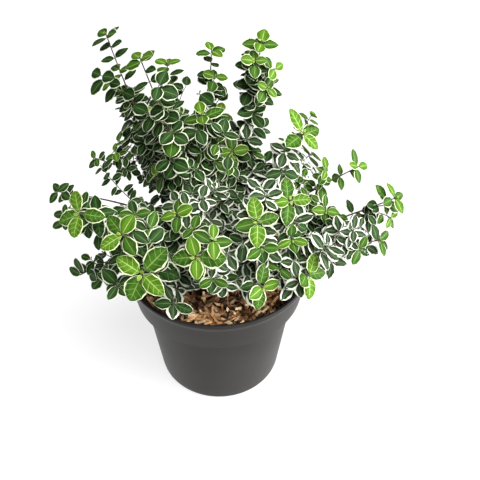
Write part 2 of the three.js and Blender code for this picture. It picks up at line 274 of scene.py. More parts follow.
def fan(pole: int, ring: np.ndarray) -> np.ndarray:
    """Lists the triangles between a pole and a run of vertices, one a row."""
    return np.stack([np.full(len(ring) - 1, pole), ring[:-1], ring[1:]], axis=-1)


def tube_faces(rings: int, sides: int) -> Faces:
    """Lists the polygons of a tube of rings, with one polygon over each end."""
    ends = np.stack([np.arange(sides)[::-1], np.arange(sides) + (rings - 1) * sides])
    return listed(grid(rings, sides), ends)


def joined(parts: list[tuple[np.ndarray, Faces]]) -> tuple[np.ndarray, Faces]:
    """Sets several vertex arrays and their polygons end to end.

    Args:
        parts: pairs of vertices and polygons.

    Returns:
        One pair of vertices and polygons.
    """
    offsets = np.cumsum([0] + [len(places) for places, _ in parts[:-1]])
    corners = [faces.corners + shift for (_, faces), shift in zip(parts, offsets)]
    sizes = [faces.sizes for _, faces in parts]
    slots = [faces.slots for _, faces in parts]
    together = Faces(*[np.concatenate(group) for group in (corners, sizes, slots)])
    return np.concatenate([places for places, _ in parts]), together


def tubes(centres: np.ndarray, radii: np.ndarray) -> tuple[np.ndarray, Faces]:
    """Makes closed tubes with a ring of vertices round each point of a line.

    A ring's vertex lies at its centre, plus its radius times the cosine and
    sine of its angle along two unit vectors square to the line.

    Args:
        centres: lines by points by three.
        radii: lines by points by sides.

    Returns:
        Vertices and polygons, each tube's ends closed by one polygon.
    """
    lines, points, sides = radii.shape
    ways = unit(np.gradient(centres, axis=1))
    guide = across(unit(centres[:, -1] - centres[:, 0]), np.zeros(lines))[:, None, :]
    first = unit(np.cross(guide, ways))
    second = np.cross(ways, first)
    angle = ring_angles(sides)[:, None]
    ring = first[:, :, None, :] * np.cos(angle) + second[:, :, None, :] * np.sin(angle)
    places = centres[:, :, None, :] + ring * radii[..., None]
    return places.reshape(-1, 3), tube_faces(points, sides).repeated(lines, points * sides)


def turned(profile: np.ndarray, sides: int) -> tuple[np.ndarray, Faces]:
    """Carries a profile of radius and height round the axis.

    A vertex lies at the radius times the cosine and sine of its column's angle.

    Args:
        profile: rows of radius and height, its first and last on the axis.
        sides: columns round the axis.

    Returns:
        Vertices and polygons, with a pole at each end.
    """
    angle = ring_angles(sides)
    body = profile[1:-1]
    flat = body[:, None, :1] * np.stack([np.cos(angle), np.sin(angle)], axis=-1)
    high = np.broadcast_to(body[:, None, 1:], (len(body), sides, 1))
    rings = np.concatenate([flat, high], axis=-1).reshape(-1, 3)
    poles = np.array([[0, 0, profile[0, 1]], [0, 0, profile[-1, 1]]])
    around = np.append(np.arange(sides), 0)
    low = fan(len(rings), around[::-1])
    last = fan(len(rings) + 1, around + (len(body) - 1) * sides)
    return np.concatenate([rings, poles]), listed(grid(len(body), sides), low, last)


def make_piece(
    name: str,
    places: np.ndarray,
    faces: Faces,
    materials: list[bpy.types.Material],
    smooth: bool = True,
) -> bpy.types.Object:
    """Makes a mesh object from arrays, at the origin and in metres.

    Args:
        name: the piece's name.
        places: vertices in millimetres.
        faces: polygons over them.
        materials: the piece's materials, in slot order.
        smooth: whether faces are shaded smooth.

    Returns:
        The new object, linked to the scene.
    """
    mesh = bpy.data.meshes.new(name)
    mesh.vertices.add(len(places))
    mesh.vertices.foreach_set("co", (places * MM).astype(np.float32).ravel())
    mesh.loops.add(len(faces.corners))
    mesh.loops.foreach_set("vertex_index", faces.corners.astype(np.int32))
    mesh.polygons.add(len(faces.sizes))
    starts = np.cumsum(faces.sizes) - faces.sizes
    mesh.polygons.foreach_set("loop_start", starts.astype(np.int32))
    mesh.polygons.foreach_set("material_index", faces.slots.astype(np.int32))
    mesh.polygons.foreach_set("use_smooth", np.full(len(faces.sizes), smooth))
    mesh.update(calc_edges=True)
    mesh.validate()
    for material in materials:
        mesh.materials.append(material)
    piece = bpy.data.objects.new(name, mesh)
    bpy.context.scene.collection.objects.link(piece)
    return piece


def hand_in(piece: bpy.types.Object, slot: str, *nodes: str) -> None:
    """Rides a piece on the body, hides the solids that it replaces, and reports its triangles.

    Args:
        piece: the piece.
        slot: its material slot in the record; not used.
        nodes: the solids that it replaces.
    """
    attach(piece, BODY)
    if nodes:
        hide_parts(*nodes)
    sizes = np.empty(len(piece.data.polygons), np.int32)
    piece.data.polygons.foreach_get("loop_total", sizes)
    LOG.info("%s: %d triangles", piece.name, int((sizes - 2).sum()))


# Finishes


class Nodes:
    """Adds nodes to a tree and links them, so that a finish reads as a list."""

    def __init__(self, tree: bpy.types.NodeTree) -> None:
        """Keeps the tree that nodes are added to."""
        self.tree = tree

    def add(self, kind: str, values: dict | None = None, **settings: object) -> bpy.types.Node:
        """Adds a node.

        Args:
            kind: Blender's name for the node type.
            values: input sockets by name, each a value or another node's output.
            settings: the node's own properties.

        Returns:
            The node.
        """
        node = self.tree.nodes.new(kind)
        for key, value in settings.items():
            setattr(node, key, value)
        self.feed(node, values or {})
        return node

    def feed(self, node: bpy.types.Node, values: dict) -> None:
        """Sets or links a node's inputs.

        Args:
            node: the node.
            values: input sockets by name, each a value or another node's output.
        """
        for key, value in values.items():
            if isinstance(value, bpy.types.NodeSocket):
                self.tree.links.new(value, node.inputs[key])
            else:
                node.inputs[key].default_value = value

    def shade(self, values: dict) -> None:
        """Sets or links the inputs of a material's own shader."""
        self.feed(self.tree.nodes["Principled BSDF"], values)


def new_material(name: str) -> tuple[bpy.types.Material, Nodes]:
    """Makes a material.

    Args:
        name: the material's name.

    Returns:
        The material, and what adds nodes to it.
    """
    made = bpy.data.materials.new(name)
    made.use_nodes = True
    return made, Nodes(made.node_tree)


@dataclass(frozen=True)
class Grain:
    """The grain that plastic, bark, chips and mix share.

    A coarse and a fine noise multiplied mix two colours. The fine one also sets
    the roughness between two values and raises a bump.
    """

    coarse_detail: float = 3.0
    fine_detail: float = 6.0
    all_dark: float = 0.14
    all_light: float = 0.4

    SOCKETS = (
        ("INPUT", "Color", ("Light", "Dark")),
        ("INPUT", "Float", ("Coarse", "Fine", "Relief", "Depth", "Smooth", "Rough")),
        ("OUTPUT", "Color", ("Colour",)),
        ("OUTPUT", "Float", ("Roughness",)),
        ("OUTPUT", "Vector", ("Normal",)),
    )

    def group(self) -> bpy.types.NodeTree:
        """Builds the grain's node group.

        Returns:
            The node group.
        """
        group = bpy.data.node_groups.new("surface_grain", "ShaderNodeTree")
        for side, kind, names in self.SOCKETS:
            for name in names:
                group.interface.new_socket(name=name, in_out=side, socket_type=f"NodeSocket{kind}")
        nodes = Nodes(group)
        given = nodes.add("NodeGroupInput").outputs
        place = nodes.add("ShaderNodeTexCoord").outputs["Object"]
        coarse, fine = [
            nodes.add("ShaderNodeTexNoise", {"Vector": place, "Scale": given[scale], "Detail": detail})
            for scale, detail in (("Coarse", self.coarse_detail), ("Fine", self.fine_detail))
        ]
        factors = {0: coarse.outputs["Fac"], 1: fine.outputs["Fac"]}
        both = nodes.add("ShaderNodeMath", factors, operation="MULTIPLY")
        ends = {"Value": both.outputs[0], "From Min": self.all_dark, "From Max": self.all_light}
        spread = nodes.add("ShaderNodeMapRange", ends)
        mixed = {"Factor": spread.outputs[0], "A": given["Dark"], "B": given["Light"]}
        colour = nodes.add("ShaderNodeMix", mixed, data_type="RGBA")
        ends = {"Value": fine.outputs["Fac"], "To Min": given["Smooth"], "To Max": given["Rough"]}
        rough = nodes.add("ShaderNodeMapRange", ends)
        height = {"Height": fine.outputs["Fac"], "Strength": given["Relief"], "Distance": given["Depth"]}
        bump = nodes.add("ShaderNodeBump", height)
        results = {"Colour": colour.outputs[2], "Roughness": rough.outputs[0], "Normal": bump.outputs[0]}
        nodes.add("NodeGroupOutput", results)
        return group


@dataclass(frozen=True)
class GrainFinish:
    """A finish whose colour, roughness and relief come from the shared grain."""

    name: str
    light: Colour
    dark: Colour
    coarse: float = 60.0
    fine: float = 420.0
    relief: float = 0.4
    depth: float = 0.001
    smooth: float = 0.6
    rough: float = 0.9
    specular: float = 0.3

    def material(self, group: bpy.types.NodeTree) -> bpy.types.Material:
        """Builds the material.

        Args:
            group: the shared grain's node group.

        Returns:
            The material.
        """
        made, nodes = new_material(self.name)
        grain = nodes.add("ShaderNodeGroup", node_tree=group)
        numbers = ("coarse", "fine", "relief", "depth", "smooth", "rough")
        nodes.feed(grain, {name.capitalize(): getattr(self, name) for name in numbers})
        nodes.feed(grain, {"Light": linear(*self.light), "Dark": linear(*self.dark)})
        results = {name: grain.outputs[name] for name in ("Roughness", "Normal")}
        results |= {"Base Color": grain.outputs["Colour"], "Specular IOR Level": self.specular}
        nodes.shade(results)
        return made


@dataclass(frozen=True)
class LeafFinish:
    """The colours of one tone of leaf, zone by zone, and its gloss."""

    margin: Colour
    outer: Colour
    inner: Colour
    rib: Colour
    under: Colour
    roughness: float = 0.5
    under_roughness: float = 0.7
    specular: float = 0.1

    def materials(self, tone: Tone) -> list[bpy.types.Material]:
        """Builds a plain material for each zone.

        Args:
            tone: the tone that the materials are named for.

        Returns:
            The materials, in the order of Zone.
        """
        made = []
        for zone in Zone:
            zone_name = zone.name.lower()
            material, nodes = new_material(f"leaf_{tone.name.lower()}_{zone_name}")
            rough = self.under_roughness if zone is Zone.UNDER else self.roughness
            colour = linear(*getattr(self, zone_name))
            nodes.shade({"Base Color": colour, "Roughness": rough, "Specular IOR Level": self.specular})
            made.append(material)
        return made


LEAF_FINISHES = {
    Tone.SILVER: LeafFinish((240, 243, 226), (38, 58, 32), (60, 82, 50), (104, 126, 88), (70, 88, 54)),
    Tone.DARK: LeafFinish((226, 232, 204), (30, 54, 20), (46, 76, 32), (88, 122, 66), (58, 82, 40)),
    Tone.MID: LeafFinish((232, 238, 198), (47, 84, 20), (65, 105, 29), (122, 158, 76), (84, 116, 46)),
    Tone.LIME: LeafFinish((236, 242, 186), (72, 114, 24), (90, 132, 34), (166, 196, 100), (118, 152, 60)),
    Tone.YOUNG: LeafFinish(
        (230, 238, 160), (112, 148, 36), (127, 161, 46), (186, 204, 110), (130, 160, 66)
    ),
}
BARK = GrainFinish("bark", (122, 108, 88), (56, 46, 36), coarse=180, fine=900, relief=0.5, depth=0.0006)
TWIG = GrainFinish("green_twig", (112, 120, 72), (62, 70, 40), coarse=140, fine=800, depth=0.0003)


# Shoots: the source's sizes and growth rule, written again


@dataclass(frozen=True)
class Shoot:
    """One shoot: the source's sizes, and how finely and in what tone it leafs.

    tip, start, twigs, reach and lift are the source's. blade is the length of
    the leaves at its tip and inner that of the old ones, step the distance
    between pairs, fine the number of its finer twigs, bare and top the shares
    of its length between which these grow, width a leaf's width over its
    length, turn that of the cross at the tip, in degrees about the stem, and
    tilt how far its leaves turn to the light.
    """

    name: str
    tip: Point
    start: float
    twigs: int
    reach: float
    tone: Tone
    old: Tone = Tone.SILVER
    blade: float = 24.0
    inner: float = 16.0
    step: float = 10.5
    fine: int = 16
    bare: float = 0.14
    top: float = 0.9
    width: float = 0.74
    lift: float = 24.0
    turn: float = 0.0
    tilt: float = 0.0

    @property
    def spray(self) -> Spray:
        """How the shoot's own stem leafs."""
        sizes = (self.blade, self.inner, self.width, math.radians(self.turn), self.tilt)
        return Spray(self.bare, self.step, self.tone, self.old, *sizes)


# A shoot's place in the table seeds its draws, so new ones come last

SHOOTS = (
    Shoot("tall_left", (-110, 35, 450), 0.4, 2, 34, Tone.MID, Tone.DARK,
          blade=17, inner=16, step=12, fine=10, bare=0.2, top=0.66, width=0.92, turn=44),
    Shoot("tall_left_inner", (-72, 0, 440), 0.36, 3, 38, Tone.LIME, Tone.DARK,
          blade=17, inner=17, step=12, fine=14, bare=0.2, top=0.74, width=0.9, turn=30),
    Shoot("tall_mid_left", (-54, 56, 412), 0.36, 3, 34, Tone.LIME, Tone.DARK,
          blade=15, inner=17, step=12, fine=14, bare=0.2, top=0.8, width=0.92, turn=80),
    Shoot("tall_mid", (-6, 60, 426), 0.36, 2, 32, Tone.LIME, Tone.DARK,
          blade=15, inner=18, step=13, fine=9, bare=0.2, top=0.66, width=0.92, turn=25),
    Shoot("tall_right", (46, 30, 446), 0.3, 3, 28, Tone.LIME, Tone.DARK,
          blade=18, inner=17, step=12, fine=16, bare=0.18, top=0.86, width=0.86, turn=0),
    Shoot("crest", (-14, -6, 384), 0.26, 4, 40, Tone.LIME, Tone.DARK, blade=21, inner=17, fine=20, turn=16),
    Shoot("crest_back", (34, 72, 316), 0.26, 4, 44, Tone.MID, blade=20, fine=20),
    Shoot("upper_right", (92, -2, 362), 0.26, 4, 34, Tone.LIME, blade=28, fine=16, top=0.72, turn=57),
    Shoot("right_high", (164, 26, 304), 0.34, 3, 32, Tone.LIME, Tone.MID,
          blade=20, inner=15, step=12, fine=8, top=0.56, lift=16, turn=124, tilt=0.8),
    Shoot("right", (203, -10, 286), 0.34, 3, 34, Tone.LIME, Tone.DARK,
          blade=20, inner=15, fine=15, top=0.86, lift=8, turn=50, tilt=0.8),
    Shoot("right_low", (186, -42, 250), 0.32, 3, 36, Tone.MID,
          blade=19, inner=15, fine=18, lift=16, tilt=0.6),
    Shoot("slim_left", (-132, -6, 330), 0.32, 2, 30, Tone.MID, Tone.DARK,
          blade=13, inner=11, step=11, fine=4, bare=0.2, top=0.5, width=0.74),
    Shoot("left", (-172, -30, 302), 0.4, 2, 30, Tone.DARK, Tone.DARK,
          blade=15, inner=14, step=10, fine=5, bare=0.62, top=0.86, lift=4, tilt=0.6, turn=114),
    Shoot("left_front", (-132, -90, 318), 0.36, 3, 38, Tone.LIME, Tone.DARK,
          blade=22, fine=13, top=0.74, turn=158),
    Shoot("left_low", (-156, -62, 208), 0.3, 3, 34, Tone.DARK, Tone.DARK,
          blade=18, inner=15, fine=13, lift=18),
    Shoot("front_left", (-88, -110, 308), 0.34, 3, 36, Tone.LIME, Tone.DARK,
          blade=23, fine=16, top=0.82, turn=103),
    Shoot("front_left_low", (-70, -124, 270), 0.3, 3, 38, Tone.LIME, Tone.DARK,
          blade=30, inner=18, fine=16, top=0.8, turn=148),
    Shoot("front_mid_left", (-38, -80, 312), 0.26, 3, 38, Tone.LIME, blade=17, inner=15, fine=20, turn=80),
    Shoot("front_mid", (-16, -120, 290), 0.3, 3, 38, Tone.LIME, blade=24.5, fine=20, top=0.82, turn=157),
    Shoot("front_mid_right", (44, -94, 314), 0.3, 3, 40, Tone.LIME, blade=23.5, fine=22, top=0.86, turn=14),
    Shoot("front_right", (78, -60, 316), 0.28, 3, 38, Tone.LIME, blade=22, fine=20, turn=112),
    Shoot("front_right_low", (102, -94, 243), 0.32, 3, 38, Tone.LIME, blade=25, inner=17, fine=18, turn=46),
    Shoot("rim_right", (52, -108, 238), 0.32, 2, 34, Tone.LIME, blade=23, fine=12, top=0.8, turn=144),
    Shoot("rim_left", (-46, -100, 203), 0.3, 2, 32, Tone.DARK, blade=22, fine=9, top=0.8),
    Shoot("back_left", (-128, 92, 286), 0.28, 4, 42, Tone.MID, blade=22, fine=20),
    Shoot("back_mid", (-30, 150, 296), 0.26, 4, 44, Tone.LIME, blade=24, fine=22),
    Shoot("back_mid_low", (20, 168, 226), 0.3, 4, 42, Tone.MID, blade=24, fine=18),
    Shoot("back_right", (120, 112, 268), 0.28, 4, 44, Tone.LIME, blade=24, fine=20),
)
BY_NAME = {shoot.name: shoot for shoot in SHOOTS}


@dataclass(frozen=True)
class SideShoot:
    """A stronger side twig: what carries it, where it leaves that, and its tip.

    tone and blade are those of its tip, and turn is that of the cross there.
    """

    parent: str
    share: float
    tip: Point
    tone: Tone
    blade: float
    turn: float = 0.0


SIDE_SHOOTS = tuple(SideShoot(*row) for row in (
    ("tall_left", 0.66, (-112, 22, 406), Tone.YOUNG, 12),
    ("tall_left", 0.5, (-95, 24, 376), Tone.DARK, 16),
    ("tall_left", 0.38, (-105, 6, 344), Tone.MID, 17),
    ("tall_left_inner", 0.62, (-70, 20, 386), Tone.DARK, 16),
    ("tall_left_inner", 0.4, (-61, -24, 322), Tone.LIME, 19, 20),
    ("tall_mid_left", 0.5, (-49, 14, 339), Tone.YOUNG, 18),
    ("tall_mid_left", 0.7, (-34, 48, 389), Tone.DARK, 16),
    ("tall_right", 0.78, (39, 16, 431), Tone.LIME, 15, 90),
    ("tall_right", 0.5, (33, 10, 345), Tone.SILVER, 17),
    ("crest_back", 0.6, (17, 4, 334), Tone.LIME, 20, 90),
    ("crest", 0.6, (-41, -30, 329), Tone.DARK, 18),
    ("crest", 0.7, (-2, -20, 323), Tone.SILVER, 16),
    ("front_mid_left", 0.7, (0, -40, 314), Tone.SILVER, 17),
    ("upper_right", 0.62, (72, -20, 324), Tone.DARK, 20),
    ("right_high", 0.66, (123, 8, 310), Tone.LIME, 14),
    ("right_high", 0.6, (125, -16, 270), Tone.LIME, 17),
    ("right_low", 0.78, (159, -58, 250), Tone.MID, 18),
    ("right", 0.6, (138, -40, 259), Tone.SILVER, 18),
    ("front_right_low", 0.7, (120, -74, 267), Tone.SILVER, 22),
    ("front_right", 0.6, (80, -92, 290), Tone.LIME, 16),
    ("front_right", 0.8, (85, -70, 292), Tone.DARK, 20),
    ("front_mid_right", 0.7, (49, -104, 289), Tone.MID, 20),
    ("front_mid", 0.75, (1, -108, 302), Tone.LIME, 18),
    ("front_mid", 0.5, (0, -112, 253), Tone.MID, 17),
    ("front_mid", 0.4, (11, -106, 238), Tone.SILVER, 16),
    ("front_left", 0.75, (-63, -90, 301), Tone.MID, 19),
    ("left_low", 0.7, (-102, -100, 231), Tone.DARK, 19),
    ("left_front", 0.75, (-122, -70, 279), Tone.DARK, 20),
    ("left", 0.85, (-163, -50, 277), Tone.DARK, 15),
    ("right", 0.8, (199, -18, 263), Tone.LIME, 17),
    ("right", 0.68, (180, -22, 238), Tone.DARK, 17),
    ("right", 0.86, (205, -18, 279), Tone.DARK, 17),
    ("right_low", 0.6, (128, -70, 241), Tone.SILVER, 19),
    ("tall_left", 0.58, (-95, 15, 392), Tone.DARK, 15),
    ("tall_left_inner", 0.5, (-79, 10, 379), Tone.DARK, 15),
    ("tall_mid_left", 0.62, (-44, 50, 376), Tone.DARK, 15),
    ("tall_mid", 0.55, (3, 40, 362), Tone.YOUNG, 15),
    ("left_front", 0.8, (-120, -84, 312), Tone.MID, 22),
    ("left_front", 0.6, (-110, -40, 283), Tone.DARK, 17),
    ("left", 0.8, (-134, -66, 284), Tone.DARK, 18),
    ("crest", 0.72, (-26, 0, 369), Tone.MID, 20),
    ("tall_mid_left", 0.56, (-50, 18, 348), Tone.LIME, 17),
    ("tall_left", 0.34, (-96, 8, 347), Tone.MID, 16),
    ("slim_left", 0.72, (-110, 0, 334), Tone.LIME, 13),
    ("left_front", 0.42, (-125, -12, 325), Tone.DARK, 14),
    ("crest", 0.5, (15, -16, 331), Tone.MID, 15),
    ("tall_mid", 0.5, (25, 30, 344), Tone.SILVER, 16),
    ("front_mid_right", 0.5, (30, -104, 294), Tone.DARK, 20),
    ("crest_back", 0.7, (50, 44, 342), Tone.DARK, 15),
    ("tall_right", 0.84, (60, 18, 422), Tone.LIME, 14),
    ("tall_mid", 0.66, (6, 44, 380), Tone.DARK, 15),
    ("upper_right", 0.72, (101, 18, 371), Tone.LIME, 13),
    ("tall_mid", 0.76, (-2, 48, 400), Tone.LIME, 14, 90),
    ("tall_right", 0.7, (53, 12, 404), Tone.LIME, 14, 90),
    ("tall_left_inner", 0.5, (-63, 2, 383), Tone.YOUNG, 12),
    ("tall_mid_left", 0.6, (-55, 12, 386), Tone.LIME, 13),
))


# Gaps in the crown that stay open: the centre's place and the radius

OPENINGS = np.array([
    (-128, 0, 285, 24), (-108, -48, 311, 18), (-128, -40, 303, 14), (-107, -34, 288, 13),
    (-66, -14, 280, 11), (-112, 78, 270, 16), (-30, 45, 376, 18), (20, 32, 370, 15),
    (68, 10, 336, 19), (138, 16, 300, 12), (155, 2, 284, 16), (154, -20, 270, 14),
    (170, -6, 280, 11), (-22, -92, 209, 13), (-3, -97, 212, 16), (22, -98, 213, 15),
    (-130, -40, 230, 15), (-157, -7, 294, 10), (-124, -54, 322, 10), (-128, -42, 219, 12),
    (-154, -66, 201, 7), (177, 5, 278, 10), (156, -3, 258, 9), (-56, -14, 410, 14),
    (-42, 66, 394, 9), (-17, 44, 385, 9), (102, -98, 245, 6), (76, 10, 362, 6),
    (-118, 3, 260, 9), (-69, -15, 265, 7),
], float)


@dataclass(frozen=True)
class StemSizes:
    """The short main stem: the height of its foot, and its sizes above that."""

    foot: float = 174.3
    height: float = 40.0
    flare_radius: float = 11.0
    flare_height: float = 7.0
    low_radius: float = 7.4
    top_radius: float = 6.0
    lean: float = -1.5
    middle_drop: float = 0.3
    flare_fall: float = 2.0
    round_from: float = 0.93
    round_run: float = 0.07
    round_end: float = 0.95


@dataclass(frozen=True)
class BoughSizes:
    """How boughs leave the main stem, as in the source, and how they taper.

    Seats are the places where they leave it, and push is how much of a lack of
    room between two seats each of them makes up in one round.
    """

    seat_low: float = 9.0
    seat_high: float = 37.0
    seat_sink: float = 1.5
    seat_spacing: float = 6.8
    settle_rounds: int = 80
    push: float = 0.25
    reach: float = 0.42
    lift_fall: float = 0.46
    radius: float = 1.9
    tip_radius: float = 0.55
    taper: float = 0.8


class Curve:
    """A quadratic curve drawn by three points, and read by the share of its length."""

    SAMPLES = 200

    def __init__(self, start: np.ndarray, bend: np.ndarray, end: np.ndarray) -> None:
        """Samples the curve evenly in its parameter t and adds up its length.

        A point is the start times one minus t squared, the bend times twice t
        times one minus t, and the end times t squared.

        Args:
            start, bend, end: the curve's three points.
        """
        t = np.linspace(0, 1, self.SAMPLES + 1)[:, None]
        self.points = (1 - t) ** 2 * start + 2 * t * (1 - t) * bend + t**2 * end
        steps = np.linalg.norm(np.diff(self.points, axis=0), axis=1)
        self.run = np.concatenate([[0], np.cumsum(steps)])
        self.length = float(self.run[-1])

    def at(self, share: Values) -> np.ndarray:
        """Finds one point for each share of the length."""
        where = np.asarray(share) * self.length
        return np.stack([np.interp(where, self.run, axis) for axis in self.points.T], axis=-1)

    def way(self, share: Values) -> np.ndarray:
        """Finds unit tangents.

        Args:
            share: shares of the length.

        Returns:
            One unit vector for each share.
        """
        near = 1 / self.SAMPLES
        share = np.asarray(share)
        return unit(self.at(np.minimum(share + near, 1)) - self.at(np.maximum(share - near, 0)))


@dataclass
class Seat:
    """Where a shoot leaves the main stem."""

    shoot: Shoot
    azimuth: float
    slope: float
    height: float = 0.0


@dataclass
class Skeleton:
    """Works out where each shoot starts and runs, by the source's rule."""

    stem: StemSizes = field(default_factory=StemSizes)
    bough: BoughSizes = field(default_factory=BoughSizes)

    def seat_radius_at(self, height: float) -> float:
        """Finds how far from the stem's axis a seat lies.

        Args:
            height: the seat's height on the stem.

        Returns:
            The distance.
        """
        share = (height - self.stem.flare_height) / (self.stem.height - self.stem.flare_height)
        radius = self.stem.low_radius + (self.stem.top_radius - self.stem.low_radius) * share
        return radius - self.bough.seat_sink

    def seats(self) -> list[Seat]:
        """Seats flat shoots low and steep ones high, then pushes neighbours apart.

        Returns:
            The seats.
        """
        middle = UP * (self.stem.foot + self.stem.height / 2 - self.stem.middle_drop)
        seats = []
        for shoot in SHOOTS:
            way = np.array(shoot.tip) - middle
            slope = math.atan2(way[2], math.hypot(way[0], way[1]))
            seats.append(Seat(shoot, math.atan2(way[1], way[0]), slope))
        seats.sort(key=lambda seat: seat.slope)
        low, high = self.bough.seat_low, self.bough.seat_high
        for rank, seat in enumerate(seats):
            seat.height = low + (high - low) * rank / (len(seats) - 1)
        for _ in range(self.bough.settle_rounds):
            for index, one in enumerate(seats):
                for other in seats[index + 1 :]:
                    self.part_seats(one, other)
        return seats

    def part_seats(self, one: Seat, other: Seat) -> None:
        """Turns two seats away from each other where they are too close.

        Args:
            one, other: the seats.
        """
        radius = self.seat_radius_at((one.height + other.height) / 2) + self.bough.seat_sink
        gap = other.azimuth - one.azimuth
        turn = math.atan2(math.sin(gap), math.cos(gap))
        apart = math.hypot(turn * radius, other.height - one.height)
        if apart < self.bough.seat_spacing:
            push = self.bough.push * (self.bough.seat_spacing - apart) / radius * math.copysign(1, turn)
            one.azimuth -= push
            other.azimuth += push

    def curve(self, seat: Seat) -> Curve:
        """Draws a shoot from its seat to its tip.

        Args:
            seat: the seat.

        Returns:
            The shoot's curve.
        """
        side = np.array([math.cos(seat.azimuth), math.sin(seat.azimuth), 0.0])
        start = side * self.seat_radius_at(seat.height) + UP * (self.stem.foot + seat.height)
        tip = np.array(seat.shoot.tip, float)
        way = tip - start
        slope = math.degrees(math.atan2(way[2], math.hypot(way[0], way[1])))
        leaving = math.radians(slope + seat.shoot.lift - self.bough.lift_fall * slope)
        reach = self.bough.reach * np.linalg.norm(way)
        bend = start + reach * (side * math.cos(leaving) + UP * math.sin(leaving))
        return Curve(start, bend, tip)


# Leaves


@dataclass(frozen=True)
class Spray:
    """How a stem leafs.

    low is the share of the stem where its leaves start and step the distance
    between pairs. tone and blade are the tone and length at the tip, old and
    inner those of its oldest leaves. width is a leaf's width over its length,
    turn the angle of the cross about the stem and tilt the turn to the light.
    """

    low: float
    step: float
    tone: Tone
    old: Tone
    blade: float
    inner: float
    width: float
    turn: float
    tilt: float


class Leaf:
    """Columns of the leaf table, which has a row for each leaf."""

    ROOT = slice(0, 3)
    WAY = slice(3, 6)
    TURN = 6
    SPREAD = 7
    LENGTH = 8
    TONE = 9
    WIDTH = 10
    SEED = 11


@dataclass(frozen=True)
class Pairs:
    """Sets leaves in pairs a quarter turn apart, with a cross of four at a tip.

    The spreads are the angles between leaf and stem. first and last place the
    pairs within their steps, and growth is the power by which leaves grow from
    the oldest to the tip. lighter_from is the draw above which a pair is one
    tone fresher. The cross and the bud in it have shares of the stem's length,
    sizes as shares of the blade and, for the bud, a width over its length.
    """

    old_spread: float = math.radians(84)
    spread: float = math.radians(72)
    tip_spread: float = math.radians(66)
    bud_spread: float = math.radians(34)
    first: float = 0.4
    last: float = 0.6
    growth: float = 1.5
    lighter_from: float = 0.84
    cross_step: float = 5.0
    cross_share: float = 0.99
    cross_size: float = 0.92
    bud_share: float = 0.995
    bud_size: float = 0.22
    bud_width: float = 0.5
    pair_sizes: Range = (0.82, 0.3)
    leaf_sizes: Range = (0.84, 0.26)
    widths: Range = (0.88, 0.22)
    pair_sway: float = 0.7
    turn_sway: float = 0.5
    spread_sway: float = 0.4

    def along(self, curve: Curve, seed: float, spray: Spray) -> np.ndarray:
        """Leafs a stem.

        Args:
            curve: the stem.
            seed: its seed.
            spray: how it leafs.

        Returns:
            Rows of the leaf table.
        """
        run = 1 - spray.low
        count = max(round(curve.length * run / spray.step), 1)
        index = np.arange(count)
        share = spray.low + run * (index + self.first) / (count + self.last)
        near = ((share - spray.low) / run) ** self.growth
        size = spray.inner + (spray.blade - spray.inner) * near
        size = size * vary(seed, index + Draw.PAIR_SIZE, self.pair_sizes)
        fresh, old = spray.tone.value, spray.old.value
        below = max(fresh - 1, min(fresh, old))
        tone = np.maximum(below - (count - index), old)
        lighter = chance(seed, index + Draw.LIGHTER) > self.lighter_from
        tone = np.where(lighter & (tone < Tone.MID.value), tone + 1, tone)
        turn = spray.turn + (index - count) * QUARTER_TURN + sway(seed, index, self.pair_sway)
        angle = self.old_spread + (self.spread - self.old_spread) * near
        bud = min(fresh + 1, Tone.YOUNG.value) if fresh >= Tone.MID.value else fresh
        under = 1 - self.cross_step / curve.length
        wide, blade, turned_on = spray.width, spray.blade, spray.turn + QUARTER_TURN
        cross = (
            (under, spray.turn, self.spread, blade, below, wide),
            (self.cross_share, turned_on, self.tip_spread, self.cross_size * blade, fresh, wide),
            (self.bud_share, spray.turn, self.bud_spread, self.bud_size * blade, bud, self.bud_width),
        )
        rows = [self.pairs(curve, seed, share, turn, angle, size, tone, wide)]
        rows += [self.pairs(curve, seed + Seed.CROSS + step, *pair) for step, pair in enumerate(cross)]
        table = np.concatenate(rows)
        table[:, Leaf.WAY] = unit(table[:, Leaf.WAY] + spray.tilt * LIGHT)
        return table

    def pairs(self, curve: Curve, seed: float, *looks: Values) -> np.ndarray:
        """Sets two facing leaves at each share of a stem.

        Args:
            curve: the stem that carries them.
            seed: a number for this stem.
            looks: shares of its length, and each pair's turn about the stem,
                spread, blade length, tone number and width over length.

        Returns:
            Rows of the leaf table.
        """
        share, turn, spread, length, tone, width = [
            np.asarray(look, float) for look in np.broadcast_arrays(np.atleast_1d(looks[0]), *looks[1:])
        ]
        rows = []
        for facing, first in ((0.0, Draw.LEAF), (np.pi, Draw.OTHER_LEAF)):
            draw = np.arange(len(share)) + first
            columns = (
                curve.at(share),
                curve.way(share),
                turn + facing + sway(seed, draw, self.turn_sway),
                spread + sway(seed + Seed.SPREAD, draw, self.spread_sway),
                length * vary(seed + Seed.LENGTH, draw, self.leaf_sizes),
                tone,
                width * vary(seed + Seed.WIDTH, draw, self.widths),
                seed + Seed.LEAF * draw,
            )
            rows.append(np.column_stack(columns))
        return np.concatenate(rows)


